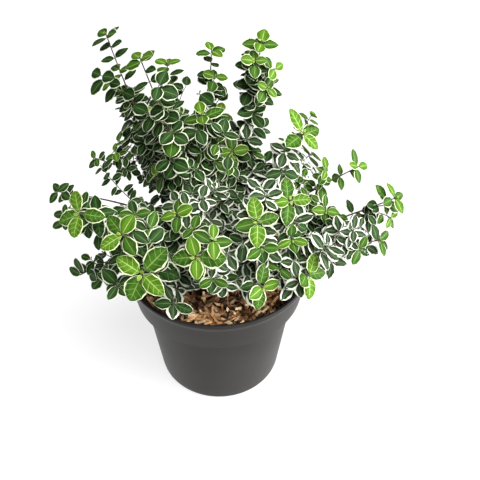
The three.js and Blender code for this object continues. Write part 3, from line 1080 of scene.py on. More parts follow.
@dataclass(frozen=True)
class Stance:
    """How blades turn to the light, and outwards at the sides and the back.

    A blade faces the stem's way and the light by stem_share and face_up, and
    lie_flat is how far its own line is laid square to the light. The side lean
    is full at side_full from the middle and dies away over front_depth towards
    the front. The back lean starts at back_from and is full back_depth behind
    that. middle and tip are shares of the blade's length, its stalk included.
    """

    face_up: float = 0.8
    stem_share: float = 0.7
    lie_flat: float = 0.66
    loose: float = 0.5
    side_lean: float = 0.6
    side_full: float = 120.0
    front_depth: float = 90.0
    back_lean: float = 1.2
    back_from: float = 50.0
    back_depth: float = 70.0
    middle: float = 0.6
    tip: float = 1.08

    def light(self, leaves: np.ndarray) -> np.ndarray:
        """Finds the direction that each blade faces: the light, leaning outwards.

        The lean to the side grows with x, and only behind the front rows. The
        lean to the back grows with y behind the middle.

        Args:
            leaves: the leaf table.

        Returns:
            One unit vector a row.
        """
        x, y, _ = leaves[:, Leaf.ROOT].T
        inwards = np.clip((y + self.front_depth) / self.front_depth, 0, 1)
        side = self.side_lean * np.clip(x / self.side_full, -1, 1) * inwards
        back = self.back_lean * np.clip((y - self.back_from) / self.back_depth, 0, 1)
        return unit(LIGHT + np.column_stack([side, back, 0 * x]))

    def frames(self, leaves: np.ndarray) -> tuple[np.ndarray, np.ndarray, np.ndarray]:
        """Finds unit vectors along, across and out of each blade.

        Args:
            leaves: the leaf table.

        Returns:
            The three vectors, one row for each leaf.
        """
        way, spread = leaves[:, Leaf.WAY], leaves[:, Leaf.SPREAD, None]
        along = way * np.cos(spread) + across(way, leaves[:, Leaf.TURN]) * np.sin(spread)
        light = self.light(leaves)
        along = unit(along - self.lie_flat * light * dot(along, light))
        loose = sway(leaves[:, Leaf.SEED, None], np.arange(3), self.loose)
        face = way * self.stem_share + light * self.face_up + loose
        normal = unit(face - along * dot(face, along))
        return along, np.cross(normal, along), normal

    def places(self, leaves: np.ndarray, share: float) -> np.ndarray:
        """Finds the place at a share of each blade's length, one a row."""
        along, _, _ = self.frames(leaves)
        return leaves[:, Leaf.ROOT] + along * leaves[:, Leaf.LENGTH, None] * share


@dataclass(frozen=True)
class LeafShape:
    """The grid of one leaf, and how it is folded, bent, veined and edged.

    vein is the width of a side vein as a share of the length, and none if zero.
    rake is how far rows run on towards the tip on their way out. fold raises
    both halves of the blade and flatten levels their edges. quilt and bulge are
    how far the blade rises between veins, and what it gains or loses on a row.
    The edge and the inner green end at shares of the half width, tone by tone.
    STRIP holds the zones across the blade, QUILTED how far each of its columns
    of vertices is raised, and UNDER the columns that the underside follows.
    """

    rows: int
    vein: float = 0.0
    vein_from: float = 0.1
    vein_run: float = 0.84
    vein_gap: float = 0.56
    rake: float = 0.6
    fold: float = 0.3
    flatten: float = 0.26
    quilt: float = 0.012
    bulge: Slope = (0.6, 0.4)
    teeth: float = 0.03
    thickness: float = 0.3
    petiole: float = 0.08
    rib: Slope = (0.08, 0.045)
    rise: Range = (0.62, 0.2)
    fall: Range = (0.62, 0.26)
    droop: Range = (0.04, 0.2)
    inner: Range = (0.4, 0.34)
    margin_least: float = 0.3
    margin_most: float = 0.94
    stance: Stance = field(default_factory=Stance)

    STRIP = (Zone.MARGIN, Zone.OUTER, Zone.INNER, Zone.RIB, Zone.INNER, Zone.OUTER, Zone.MARGIN)
    QUILTED = np.array([0, 0.4, 1, -0.9, -0.9, 1, 0.4, 0])
    UNDER = [0, 3, 7]
    UNDER_MIDDLE = np.array([0.0, 1.0, 0.0])
    EDGE = np.array([0.68, 0.85, 0.86, 0.88, 0.85])
    LOOSE = np.array([0.26, 0.1, 0.14, 0.1, 0.1])
    SPLASH = np.array([0.5, 0.2, 0.4, 0.25, 0.1])

    def shares(self) -> tuple[np.ndarray, np.ndarray]:
        """Finds each row's share of the length, and whether it lies on a tooth.

        Plain rows crowd towards both ends, as the cosine of even angles does.
        Veined ones come in threes: both edges of a side vein and the raised
        blade beyond it.

        Returns:
            The shares, and one for a row on a tooth or minus one for others.
        """
        count = np.arange(self.rows)
        if not self.vein:
            share = 0.5 - 0.5 * np.cos(np.pi * (count + 1) / (self.rows + 1))
            return share, np.where(count % 2, 1.0, -1.0)
        step = self.vein_run / (self.rows // 3)
        starts = self.vein_from + step * np.arange(self.rows // 3)
        share = starts[:, None] + np.array([0.0, self.vein, self.vein_gap * step])
        return share.ravel(), np.where(count % 3 == 2, -1.0, 1.0)

    def margins(self, leaves: np.ndarray, share: np.ndarray) -> tuple[np.ndarray, np.ndarray]:
        """Finds where the pale edge and the outer green start.

        The edge's share of the half width is a middle value for the tone, moved
        at random at each row and side, and less towards the tip on a third of
        the leaves, where the pale edge splashes inwards.

        Args:
            leaves: the leaf table.
            share: each row's share of the blade's length.

        Returns:
            Two arrays of leaves by rows by two sides.
        """
        seed = leaves[:, Leaf.SEED, None, None]
        tone = leaves[:, Leaf.TONE, None, None].astype(int)
        draw = np.arange(self.rows)[:, None] + Draw.OTHER_SIDE * np.arange(2)
        third = np.clip(3 * chance(seed, Draw.SPLASH) - 2, 0, 1)
        splash = self.SPLASH[tone] * third * (share**3)[:, None]
        margin = self.EDGE[tone] + sway(seed, draw + Draw.MARGIN, self.LOOSE[tone]) - splash
        margin = np.clip(margin, self.margin_least, self.margin_most)
        return margin, margin * vary(seed, draw + Draw.INNER, self.inner)

    def places(self, leaves: np.ndarray) -> np.ndarray:
        """Works out the vertices of all leaves.

        A blade point lies at its share w of the half width across the blade,
        and along it at a share s that grows with w, as side veins run. The half
        width follows s to a power times one minus s to a power, waved by teeth.
        The height is a fold that rises with w and flattens, less a droop that
        grows as s squared, with the stretches between veins raised in turn.

        Args:
            leaves: the leaf table.

        Returns:
            Vertices in millimetres.
        """
        along, side, normal = [axis[:, None, None, :] for axis in self.stance.frames(leaves)]
        seed, length, width = [leaves[:, c, None, None] for c in (Leaf.SEED, Leaf.LENGTH, Leaf.WIDTH)]
        share, tooth = self.shares()
        tooth = tooth[:, None]
        rise, fall = vary(seed, Draw.RISE, self.rise), vary(seed, Draw.FALL, self.fall)
        droop = vary(seed, Draw.DROOP, self.droop)
        peak = rise / (rise + fall)
        margin, inner = self.margins(leaves, share)
        one = np.ones_like(margin[..., :1])
        rib = one * (self.rib[0] - self.rib[1] * share[:, None])
        mirror = [-one, -margin[..., :1], -inner[..., :1], -rib]
        w = np.concatenate(mirror + [rib, inner[..., 1:], margin[..., 1:], one], axis=-1)
        s = share[:, None]
        s = s + self.rake * np.abs(w) * s * (1 - s)
        half = (s / peak) ** rise * ((1 - s) / (1 - peak)) ** fall * (1 + self.teeth * tooth)
        half = half * 0.5 * length * width
        quilt = self.QUILTED * self.quilt * length * (self.bulge[0] - self.bulge[1] * tooth)
        lift = half * (self.fold * np.abs(w) - self.flatten * w**2) + quilt - length * droop * s**2
        run = length * (self.petiole + s)

        def placed(run: np.ndarray, out: np.ndarray, high: np.ndarray) -> np.ndarray:
            """Finds points from their distances along, across and out of each blade."""
            moved = along * run[..., None] + side * out[..., None] + normal * high[..., None]
            return (leaves[:, None, None, Leaf.ROOT] + moved).reshape(len(leaves), -1, 3)

        ends = np.array([[0.0, 1.0]])
        upper = placed(run, half * w, lift)
        below = lift[..., self.UNDER] - self.UNDER_MIDDLE * self.thickness
        out = (half * w)[..., self.UNDER] * (1 - self.UNDER_MIDDLE)
        lower = placed(run[..., self.UNDER], out, below)
        poles = placed(length * (self.petiole + ends), 0 * length * ends, -length * droop * ends)
        return np.concatenate([upper, poles, lower, poles], axis=1).reshape(-1, 3)

    def faces(self, leaves: np.ndarray) -> Faces:
        """Lists the polygons of all leaves, each in the slot of its tone and zone.

        The upper side has a column for each zone. The underside has three
        columns of vertices, and each side is closed by a fan round both poles.

        Args:
            leaves: the leaf table.

        Returns:
            The polygons.
        """
        strip = np.array([zone.value for zone in self.STRIP])
        wide, thin = len(strip) + 1, len(self.UNDER)
        last = self.rows - 1
        base = self.rows * wide
        under = base + 2
        low_base = under + self.rows * thin
        row, low_row = np.arange(wide), under + np.arange(thin)
        one = listed(
            grid(self.rows, wide, wrap=False)[:, ::-1],
            fan(base, row),
            fan(base + 1, (row + last * wide)[::-1]),
            under + grid(self.rows, thin, wrap=False),
            fan(low_base, low_row[::-1]),
            fan(low_base + 1, low_row + last * thin),
        )
        blade = np.tile(strip, (last, 1))
        if self.vein:
            blade[::3, 1:-1] = Zone.RIB.value
        underside = np.full((last + 2) * (thin - 1), Zone.UNDER.value)
        one.slots = np.concatenate([blade.ravel(), strip, strip[::-1], underside])
        made = one.repeated(len(leaves), low_base + 2)
        tone = np.repeat(leaves[:, Leaf.TONE].astype(int), len(one.sizes))
        made.slots = made.slots + tone * len(Zone)
        return made


@dataclass(frozen=True)
class TwigRule:
    """How twigs are dealt out along a shoot and how they leave it.

    The source's twigs cover the share from low over run, and their reach falls
    with that share by fall. The finer ones reach fine_share of the shoot's,
    less fine_fall times their place on it. loose and turns vary their places
    and their first turn. The side ones first follow their stem by side_way and
    then head for their tip by side_head. freshness grows above fresh_from.
    """

    angle: float = math.radians(52)
    lift: float = 0.35
    bend: float = 0.55
    low: float = 0.06
    run: float = 0.8
    fall: float = 0.35
    reaches: Range = (0.85, 0.3)
    loose: float = 0.5
    turns: float = 6.0
    fine_share: float = 0.76
    fine_fall: float = 0.42
    fine_reaches: Range = (0.65, 0.6)
    fine_loose: float = 0.7
    fine_turns: float = 5.0
    side_way: float = 0.3
    side_head: float = 0.25
    step: float = 9.5
    bare: float = 0.12
    side_bare: float = 0.2
    blades: Slope = (0.86, 0.3)
    inner: float = 0.86
    side_inner: float = 0.8
    fresh_share: float = 0.14
    fresh_from: float = 0.7
    freshness: float = 0.5


@dataclass(frozen=True)
class Room:
    """How near leaves may come to the pot, the chips and the tip crosses.

    pot_low is a share of the pot's height. A cross is kept clear to radius
    times its leaves' length, and to view millimetres above it towards the light.
    """

    rim_over: float = 2.0
    rim_outside: float = 3.0
    rim_inside: float = 10.0
    chips_over: float = 6.5
    pot_low: float = 0.6
    radius: float = 0.46
    view: float = 50.0
    same_place: float = 0.01


@dataclass
class Grower:
    """Grows the twigs and leaves of each shoot, finer than its solids have them.

    CROSS_ROWS are the rows of a stem's leaf table that hold its tip's cross.
    """

    skeleton: Skeleton = field(default_factory=Skeleton)
    pairs: Pairs = field(default_factory=Pairs)
    stance: Stance = field(default_factory=Stance)
    rule: TwigRule = field(default_factory=TwigRule)
    room: Room = field(default_factory=Room)

    CROSS_ROWS = slice(-6, -2)

    def __post_init__(self) -> None:
        """Works out every shoot's curve, and the places and sizes of the crosses at fresh tips."""
        self.curves = {seat.shoot.name: self.skeleton.curve(seat) for seat in self.skeleton.seats()}
        young = [side for side in SIDE_SHOOTS if side.tone.value >= Tone.LIME.value]
        tables = [self.main_leaves(shoot) for shoot in SHOOTS]
        tables += [self.side_twig(side)[1] for side in young]
        crosses = np.concatenate([table[self.CROSS_ROWS] for table in tables])
        self.cross_middles = self.stance.places(crosses, self.stance.middle)
        self.cross_radii = self.room.radius * crosses[:, Leaf.LENGTH]

    def main_leaves(self, shoot: Shoot) -> np.ndarray:
        """Leafs a shoot's own stem."""
        return self.pairs.along(self.curves[shoot.name], 1 + SHOOTS.index(shoot), shoot.spray)

    def twig(self, curve: Curve, share: float, turn: float, length: float) -> Curve:
        """Draws a twig that leaves a stem at an angle and curves up to the light.

        Args:
            curve: the stem.
            share: where on the stem.
            turn: angle about the stem.
            length: the twig's reach.

        Returns:
            The twig.
        """
        rule, root, way = self.rule, curve.at(share), curve.way(share)
        way = way * math.cos(rule.angle) + across(way, np.asarray(turn)) * math.sin(rule.angle)
        end = root + way * length + UP * rule.lift * length
        return Curve(root, root + way * rule.bend * length, end)

    def side_twig(self, side: SideShoot) -> tuple[Curve, np.ndarray]:
        """Draws a stronger side twig, which sets off along its stem and ends at its tip.

        Args:
            side: the side shoot.

        Returns:
            Its curve and its rows of the leaf table.
        """
        rule, curve = self.rule, self.curves[side.parent]
        root, tip = curve.at(side.share), np.array(side.tip, float)
        reach = np.linalg.norm(tip - root)
        bend = root + rule.side_way * reach * curve.way(side.share) + rule.side_head * (tip - root)
        twig = Curve(root, bend, tip)
        spray = replace(
            BY_NAME[side.parent].spray,
            low=rule.side_bare,
            step=rule.step,
            tone=side.tone,
            blade=side.blade,
            inner=rule.side_inner * side.blade,
            turn=math.radians(side.turn),
        )
        seed = Seed.SIDE + Seed.TWIG * SIDE_SHOOTS.index(side)
        return twig, self.pairs.along(twig, seed, spray)

    def source_twigs(self, shoot: Shoot, seed: int) -> list[tuple[Curve, float, float]]:
        """Draws the source's own twigs, each with its seed and its share of the shoot.

        Args:
            shoot: the shoot.
            seed: its seed.

        Returns:
            The twigs.
        """
        rule, curve, drawn = self.rule, self.curves[shoot.name], []
        for index in range(shoot.twigs):
            place = (index + rule.loose * chance(seed, index + Draw.TWIG_PLACE)) / shoot.twigs
            share = rule.low + rule.run * (place % 1)
            length = shoot.reach * (1 - rule.fall * share)
            length *= vary(seed, index + Draw.TWIG_REACH, rule.reaches)
            turn = index * GOLDEN_TURN + rule.turns * chance(seed, Draw.TWIG_TURN)
            up = shoot.start + (1 - shoot.start) * share
            drawn.append((self.twig(curve, up, turn, length), seed + Seed.TWIG * (index + 1), up))
        return drawn

    def fine_twigs(self, shoot: Shoot, seed: int) -> list[tuple[Curve, float, float]]:
        """Draws the finer twigs, each with its seed and its share of the shoot.

        Args:
            shoot: the shoot.
            seed: its seed.

        Returns:
            The twigs.
        """
        rule, curve, drawn = self.rule, self.curves[shoot.name], []
        for index in range(shoot.fine):
            share = (index + rule.fine_loose * chance(seed, index + Draw.FINE_PLACE)) / shoot.fine
            up = shoot.bare + (shoot.top - shoot.bare) * share
            length = shoot.reach * (rule.fine_share - rule.fine_fall * up)
            length *= vary(seed, index + Draw.FINE_REACH, rule.fine_reaches)
            turn = (index + 0.5) * GOLDEN_TURN + rule.fine_turns * chance(seed, Draw.FINE_TURN)
            twig_seed = seed + Seed.FINE + Seed.TWIG * index
            drawn.append((self.twig(curve, up, turn, length), twig_seed, up))
        return drawn

    def grow(self, shoot: Shoot) -> tuple[np.ndarray, list[Curve]]:
        """Grows one shoot.

        Args:
            shoot: the shoot.

        Returns:
            Its leaf table and its twigs' curves.
        """
        rule, seed = self.rule, 1 + SHOOTS.index(shoot)
        rows, curves = [self.main_leaves(shoot)], []
        for twig, twig_seed, up in self.source_twigs(shoot, seed) + self.fine_twigs(shoot, seed):
            if self.in_opening(twig.points[-1]):
                continue
            limit = rule.fresh_share + rule.freshness * max(up - rule.fresh_from, 0)
            fresh = chance(twig_seed, Draw.FRESH) < limit
            tone = Tone(max(shoot.tone.value - 1, Tone.MID.value)) if fresh else shoot.old
            blade = shoot.inner * (rule.blades[0] + rule.blades[1] * up)
            spray = replace(
                shoot.spray,
                low=rule.bare,
                step=rule.step,
                tone=tone,
                blade=blade,
                inner=rule.inner * blade,
                turn=rule.turns * chance(twig_seed, Draw.TWIG_CROSS),
            )
            rows.append(self.pairs.along(twig, twig_seed, spray))
            curves.append(twig)
        for side in SIDE_SHOOTS:
            if side.parent == shoot.name:
                twig, leaves = self.side_twig(side)
                rows.append(leaves)
                curves.append(twig)
        return self.clear(np.concatenate(rows)), curves

    def clear(self, leaves: np.ndarray) -> np.ndarray:
        """Drops leaves that touch something else, fill an opening or hide a fresh cross.

        Args:
            leaves: the leaf table.

        Returns:
            The rows that stay.
        """
        middle = self.stance.places(leaves, self.stance.middle)
        dropped = self.touches(leaves, middle) | self.in_opening(middle)
        return leaves[~(dropped | self.hides_cross(leaves, middle))]

    def touches(self, leaves: np.ndarray, middle: np.ndarray) -> np.ndarray:
        """Tells which leaves touch the pot, the chips or the main stem.

        Args:
            leaves: the leaf table.
            middle: the middle of each blade.

        Returns:
            One truth value for each leaf.
        """
        _, side, _ = self.stance.frames(leaves)
        half = side * 0.5 * leaves[:, Leaf.LENGTH, None] * leaves[:, Leaf.WIDTH, None]
        probes = np.stack([self.stance.places(leaves, self.stance.tip), middle + half, middle - half])
        flat, height = np.hypot(probes[..., 0], probes[..., 1]), probes[..., 2]
        rim = (height < Pot.height + self.room.rim_over) & (flat < Pot.rim_radius + self.room.rim_outside)
        rim &= flat > Pot.rim_radius - self.room.rim_inside
        chips = (height < Mulch.crown_height + self.room.chips_over) & (flat <= Pot.rim_radius)
        stem = (height < StemSizes.foot + StemSizes.height) & (flat < StemSizes.flare_radius)
        low = height < self.room.pot_low * Pot.height
        return (rim | chips | stem | low).any(axis=0)

    def hides_cross(self, leaves: np.ndarray, middle: np.ndarray) -> np.ndarray:
        """Tells which older leaves cut into a fresh cross or lie between it and the light.

        A leaf's offset from a cross leaf is split into its part towards the
        light and what is left aside of that. A cross's own leaves don't count.

        Args:
            leaves: the leaf table.
            middle: the middle of each blade.

        Returns:
            One truth value for each leaf.
        """
        offset = middle[:, None] - self.cross_middles
        gap, over = np.linalg.norm(offset, axis=-1), offset @ unit(LIGHT)
        aside = np.sqrt(np.maximum(gap**2 - over**2, 0))
        near = (aside < self.cross_radii) & (over > -self.cross_radii) & (over < self.room.view)
        own = (gap <= self.room.same_place).any(axis=1)
        return near.any(axis=1) & (leaves[:, Leaf.TONE] < Tone.LIME.value) & ~own

    def in_opening(self, places: np.ndarray) -> np.ndarray:
        """Tells which places, one a row, lie inside one of the openings."""
        gaps = np.linalg.norm(places[..., None, :] - OPENINGS[:, :3], axis=-1)
        return (gaps < OPENINGS[:, 3]).any(axis=-1)


@dataclass(frozen=True)
class Bark:
    """The rings of a limb, and its ridges and roughness as shares of its radius.

    Each wave is its height, how often it goes round the limb, its slant along
    the limb and how much of the limb's seed is added to its angle.
    """

    rings: int
    sides: int
    waves: tuple[tuple[float, int, int, int], ...]
    rough: float

    def share(self) -> np.ndarray:
        """Lists each ring's share of the limb's length, in a column."""
        return np.linspace(0, 1, self.rings)[:, None]

    def ridges(self, seed: float = 0.0) -> np.ndarray:
        """Adds up the waves, each a sine of the angle and the share, times its height.

        Args:
            seed: the limb's seed.

        Returns:
            An array of rings by sides.
        """
        angle, share = ring_angles(self.sides), self.share()
        return sum(
            high * np.sin(often * angle + slant * share + own * seed)
            for high, often, slant, own in self.waves
        )


@dataclass
class Crown:
    """The boughs, twigs and leaves, which stand for the solids of each region.

    Leaves are drawn by their length with one of three grids. Twigs and stalks
    are millimetres thick: a twig's radius falls by twig_taper towards its tip,
    and a stalk's grows with its leaf.
    """

    grower: Grower = field(default_factory=Grower)
    large: LeafShape = field(default_factory=lambda: LeafShape(rows=12, vein=0.017, rake=0.95))
    middle: LeafShape = field(default_factory=lambda: LeafShape(rows=8))
    small: LeafShape = field(default_factory=lambda: LeafShape(rows=5, teeth=0.02))
    large_from: float = 21.0
    middle_from: float = 16.0
    twig_rings: int = 7
    twig_sides: int = 6
    twig_radius: float = 0.75
    twig_taper: float = 0.35
    stalk_reach: float = 1.5
    stalk_radius: float = 0.12
    stalk_growth: float = 0.016
    swelling: float = 0.2
    swelling_power: int = 6

    STALK_TAPER = np.array([1.2, 0.8])
    LIMB = Bark(rings=90, sides=12, waves=((0.07, 3, 9, 1), (0.05, 5, -31, 0)), rough=0.08)
    TRUNK = Bark(rings=40, sides=36, waves=((0.05, 4, 3, 0), (0.035, 9, -5, 0)), rough=0.03)
    REGIONS = {
        "tall": ("tall_left", "tall_left_inner", "tall_mid_left", "tall_mid", "tall_right"),
        "centre": ("crest", "crest_back", "upper_right"),
        "left": ("slim_left", "left", "left_front", "left_low"),
        "front_left": ("front_left", "front_left_low", "front_mid_left", "rim_left", "front_mid"),
        "front_right": ("front_mid_right", "front_right", "front_right_low", "rim_right"),
        "right": ("right_high", "right", "right_low"),
        "back": ("back_left", "back_mid", "back_mid_low", "back_right"),
    }

    def build(self, group: bpy.types.NodeTree) -> None:
        """Makes every piece of the crown.

        Args:
            group: the shared grain's node group.
        """
        paints = [paint for tone in Tone for paint in LEAF_FINISHES[tone].materials(tone)]
        green, bark = TWIG.material(group), BARK.material(group)
        for region, names in self.REGIONS.items():
            grown = [self.grower.grow(BY_NAME[name]) for name in names]
            leaves = np.concatenate([table for table, _ in grown])
            twigs = [twig for _, some in grown for twig in some]
            LOG.info("%s: %d leaves on %d twigs", region, len(leaves), len(twigs))
            piece = make_piece(f"leaves_{region}", *self.leaf_arrays(leaves), paints)
            hand_in(piece, "foliage", *[f"foliage_{name}" for name in names])
            hand_in(make_piece(f"twigs_{region}", *self.twig_arrays(twigs, leaves), [green]), "foliage")
        wood = make_piece("boughs", *joined([self.bough_arrays(), self.stem_arrays()]), [bark])
        hand_in(wood, "wood", "main_stem", *[f"bough_{name}" for name in BY_NAME])

    def leaf_arrays(self, leaves: np.ndarray) -> tuple[np.ndarray, Faces]:
        """Makes leaves: the largest have side veins, the small ones a coarser grid.

        Args:
            leaves: the leaf table.

        Returns:
            Vertices and polygons.
        """
        size = np.digitize(leaves[:, Leaf.LENGTH], (self.middle_from, self.large_from))
        shapes = enumerate((self.small, self.middle, self.large))
        groups = [(shape, leaves[size == number]) for number, shape in shapes if number in size]
        return joined([(shape.places(some), shape.faces(some)) for shape, some in groups])

    def twig_arrays(self, twigs: list[Curve], leaves: np.ndarray) -> tuple[np.ndarray, Faces]:
        """Makes tapering twigs, and the stalks of leaves.

        Args:
            twigs: the twigs' curves.
            leaves: the leaf table.

        Returns:
            Vertices and polygons.
        """
        share = np.linspace(0, 1, self.twig_rings)
        centres = np.stack([twig.at(share) for twig in twigs])
        taper = (self.twig_radius - self.twig_taper * share)[:, None]
        radii = np.broadcast_to(taper, (len(twigs), self.twig_rings, self.twig_sides))
        along, _, _ = self.grower.stance.frames(leaves)
        length = leaves[:, Leaf.LENGTH, None, None]
        ends = np.array([0.0, self.stalk_reach])[:, None] * self.small.petiole * length
        stalks = leaves[:, None, Leaf.ROOT] + along[:, None, :] * ends
        thick = (self.stalk_growth * length + self.stalk_radius) * self.STALK_TAPER[:, None] * np.ones(3)
        return joined([tubes(centres, radii), tubes(stalks, thick)])

    def bough_arrays(self) -> tuple[np.ndarray, Faces]:
        """Makes each bough and the stem that goes on from it as one tapering limb.

        A ring's radius is the tapering radius times one plus a few waves round
        and along the limb, with a swelling at each pair of leaves.

        Returns:
            Vertices and polygons.
        """
        bough, limb = self.grower.skeleton.bough, self.LIMB
        share, angle = limb.share(), ring_angles(limb.sides)
        taper = bough.radius + (bough.tip_radius - bough.radius) * share**bough.taper
        centres, radii = [], []
        for seed, shoot in enumerate(SHOOTS, start=1):
            curve = self.grower.curves[shoot.name]
            centres.append(curve.at(share[:, 0]))
            pairs = np.sin(2 * np.pi * share * curve.length / shoot.step)
            swell = self.swelling * np.maximum(pairs, 0) ** self.swelling_power
            rough = sway(seed + angle, Draw.BARK + share * (limb.rings - 1), limb.rough)
            radii.append(taper * (1 + limb.ridges(seed) + swell + rough))
        return tubes(np.array(centres), np.array(radii))

    def stem_arrays(self) -> tuple[np.ndarray, Faces]:
        """Makes the main stem, flared at its foot and ridged along its length.

        Its radius tapers evenly, plus a flare that dies away with the height as
        an exponential, and rounds off at the top as a quarter circle.

        Returns:
            Vertices and polygons.
        """
        sizes, trunk = self.grower.skeleton.stem, self.TRUNK
        share = trunk.share()
        falling = np.exp(-sizes.flare_fall * share * sizes.height / sizes.flare_height)
        flare = (sizes.flare_radius - sizes.low_radius) * falling
        body = sizes.low_radius + (sizes.top_radius - sizes.low_radius) * share
        near_top = np.clip((share - sizes.round_from) / sizes.round_run, 0, sizes.round_end)
        rough = sway(7 * ring_angles(trunk.sides), (trunk.rings - 1) * share, trunk.rough)
        radii = (flare + body) * np.sqrt(1 - near_top**2) * (1 + trunk.ridges() + rough)
        centre = np.concatenate([0 * share, sizes.lean * share, sizes.foot + share * sizes.height], axis=1)
        return tubes(centre[None], radii[None])


# Pot and mulch


@dataclass(frozen=True)
class Pot:
    """The nursery pot: lip, collar, step, tapering body and rounded foot.

    Edges are rounded by radii named after them, and inner corners by fillet.
    lip_inside is how far down the lip is thick on its inside, lip_overhang how
    far it stands out over the collar, and ledge the fall of the step inside.
    points is the number of points in an arc or a straight stretch.
    """

    rim_radius: float = 115.0
    height: float = 182.0
    lip_width: float = 4.2
    lip_depth: float = 5.0
    collar_height: float = 44.1
    collar_foot_radius: float = 107.8
    step_width: float = 9.8
    foot_radius: float = 83.0
    foot_round: float = 8.0
    wall: float = 2.2
    floor: float = 3.0
    holes: int = 6
    hole_radius: float = 5.0
    hole_circle: float = 54.0
    hole_sides: int = 32
    sides: int = 192
    points: int = 7
    fillet: float = 0.6
    collar_edge: float = 1.2
    lip_edge: float = 1.4
    lip_inner_edge: float = 1.2
    lip_under: float = 1.0
    lip_inner_under: float = 0.8
    lip_inside: float = 7.0
    lip_overhang: float = 0.9
    ledge: float = 0.3

    DRILL = np.array([-4.0, 2.0, 8.0])
    FINISH = GrainFinish(
        "pot_plastic",
        light=(50, 48, 46),
        dark=(38, 36, 34),
        coarse=14,
        fine=1500,
        relief=0.1,
        depth=0.0003,
        smooth=0.36,
        rough=0.48,
        specular=0.17,
    )

    @property
    def step(self) -> float:
        """Height of the step under the collar."""
        return self.height - self.collar_height

    @property
    def body_top(self) -> float:
        """Outer radius of the body right under the step."""
        return self.collar_foot_radius - self.step_width

    @property
    def foot_edge(self) -> float:
        """Outer radius of the body where its foot starts to round."""
        return self.foot_radius + (self.body_top - self.foot_radius) * self.foot_round / self.step

    def arc(self, radius: float, height: float, size: float, start: float, end: float) -> np.ndarray:
        """Draws an arc: its centre plus its size times the cosine and sine of angles in degrees."""
        angle = np.radians(np.linspace(start, end, self.points))
        return np.stack([radius + size * np.cos(angle), height + size * np.sin(angle)], axis=-1)

    def straight(self, low: tuple[float, float], high: tuple[float, float]) -> np.ndarray:
        """Draws points evenly between two ends, which are left out."""
        share = np.linspace(0, 1, self.points + 2)[1:-1, None]
        return np.array(low) * (1 - share) + np.array(high) * share

    def profile(self) -> np.ndarray:
        """Draws the outside and inside of the pot's wall.

        Returns:
            Rows of radius and height.
        """
        rim, top, step, wall = self.rim_radius, self.height, self.step, self.wall
        collar, body, foot = self.collar_foot_radius, self.body_top, self.foot_edge
        lip, under, turn = rim - self.lip_width, top - self.lip_depth, self.foot_round
        fillet, edge, lip_edge, inner = self.fillet, self.collar_edge, self.lip_edge, self.lip_inner_edge
        parts = [
            [[0, 0]],
            self.straight((0, 0), (foot - turn, 0)),
            self.arc(foot - turn, turn, turn, -90, -5),
            self.straight((foot, turn), (body, step - fillet)),
            self.arc(body + fillet, step - edge, fillet, 180, 90),
            self.arc(collar - edge, step + fillet, edge, -90, 0),
            self.straight((collar, step + fillet), (rim - self.lip_overhang, under)),
            self.arc(rim - self.lip_under, under + lip_edge, self.lip_under, -60, 0),
            self.arc(rim - lip_edge, top - lip_edge, lip_edge, 0, 90),
            self.arc(lip + inner, top - inner, inner, 90, 180),
            self.arc(lip + self.lip_inner_under, under, self.lip_inner_under, 180, 250),
            self.straight((rim - wall - inner, top - self.lip_inside), (collar - wall, step + wall)),
            [[collar - wall, step + wall], [body - wall, step - self.ledge]],
            self.straight((body - wall, step - self.ledge), (foot - wall, turn + 1)),
            [[self.foot_radius - turn + 1, self.floor], [0, self.floor]],
        ]
        return np.concatenate([np.array(part, float) for part in parts])

    def build(self, group: bpy.types.NodeTree) -> None:
        """Makes the pot and drills its drainage holes.

        Args:
            group: the shared grain's node group.
        """
        pot = make_piece("pot_shell", *turned(self.profile(), self.sides), [self.FINISH.material(group)])
        turns = ring_angles(self.holes, 0.5)
        foot = np.stack([np.cos(turns), np.sin(turns), 0 * turns], axis=-1) * self.hole_circle
        centres = foot[:, None, :] + UP * self.DRILL[:, None]
        radii = np.full((self.holes, len(self.DRILL), self.hole_sides), self.hole_radius)
        drill = make_piece("drill", *tubes(centres, radii), [])
        cut = pot.modifiers.new("holes", "BOOLEAN")
        cut.object = drill
        cut.solver = "EXACT"
        graph = bpy.context.evaluated_depsgraph_get()
        pot.data = bpy.data.meshes.new_from_object(pot.evaluated_get(graph))
        pot.modifiers.clear()
        bpy.data.objects.remove(drill)
        hand_in(pot, "pot", "pot")


@dataclass(frozen=True)
class ChipSizes:
    """The sizes of bark chips in millimetres, and how they vary and lie.

    pitch and roll are the widest angles that a chip lies at, and pile how high
    it lies on the mix. The powers make small draws commoner than large ones.
    middle and pinch are a chip's thickness at its middle and what its ends
    lack, chopped how ragged those are, and bow how far it is bent.
    """

    length: Range = (8.0, 14.0)
    width: Range = (2.0, 2.8)
    width_power: float = 1.3
    depth: Range = (1.2, 1.8)
    pile: Range = (0.3, 5.6)
    pile_power: float = 1.4
    pitch: float = 1.1
    pitch_lift: float = 0.2
    level_within: float = 20.0
    roll: float = 1.8
    wall_gap: float = 2.5
    middle: float = 1.4
    pinch: float = 1.2
    worn: Range = (0.86, 0.28)
    chopped: float = 0.2
    bow: float = 0.14
    bow_less: float = 0.4
    rings: int = 3
    sides: int = 4


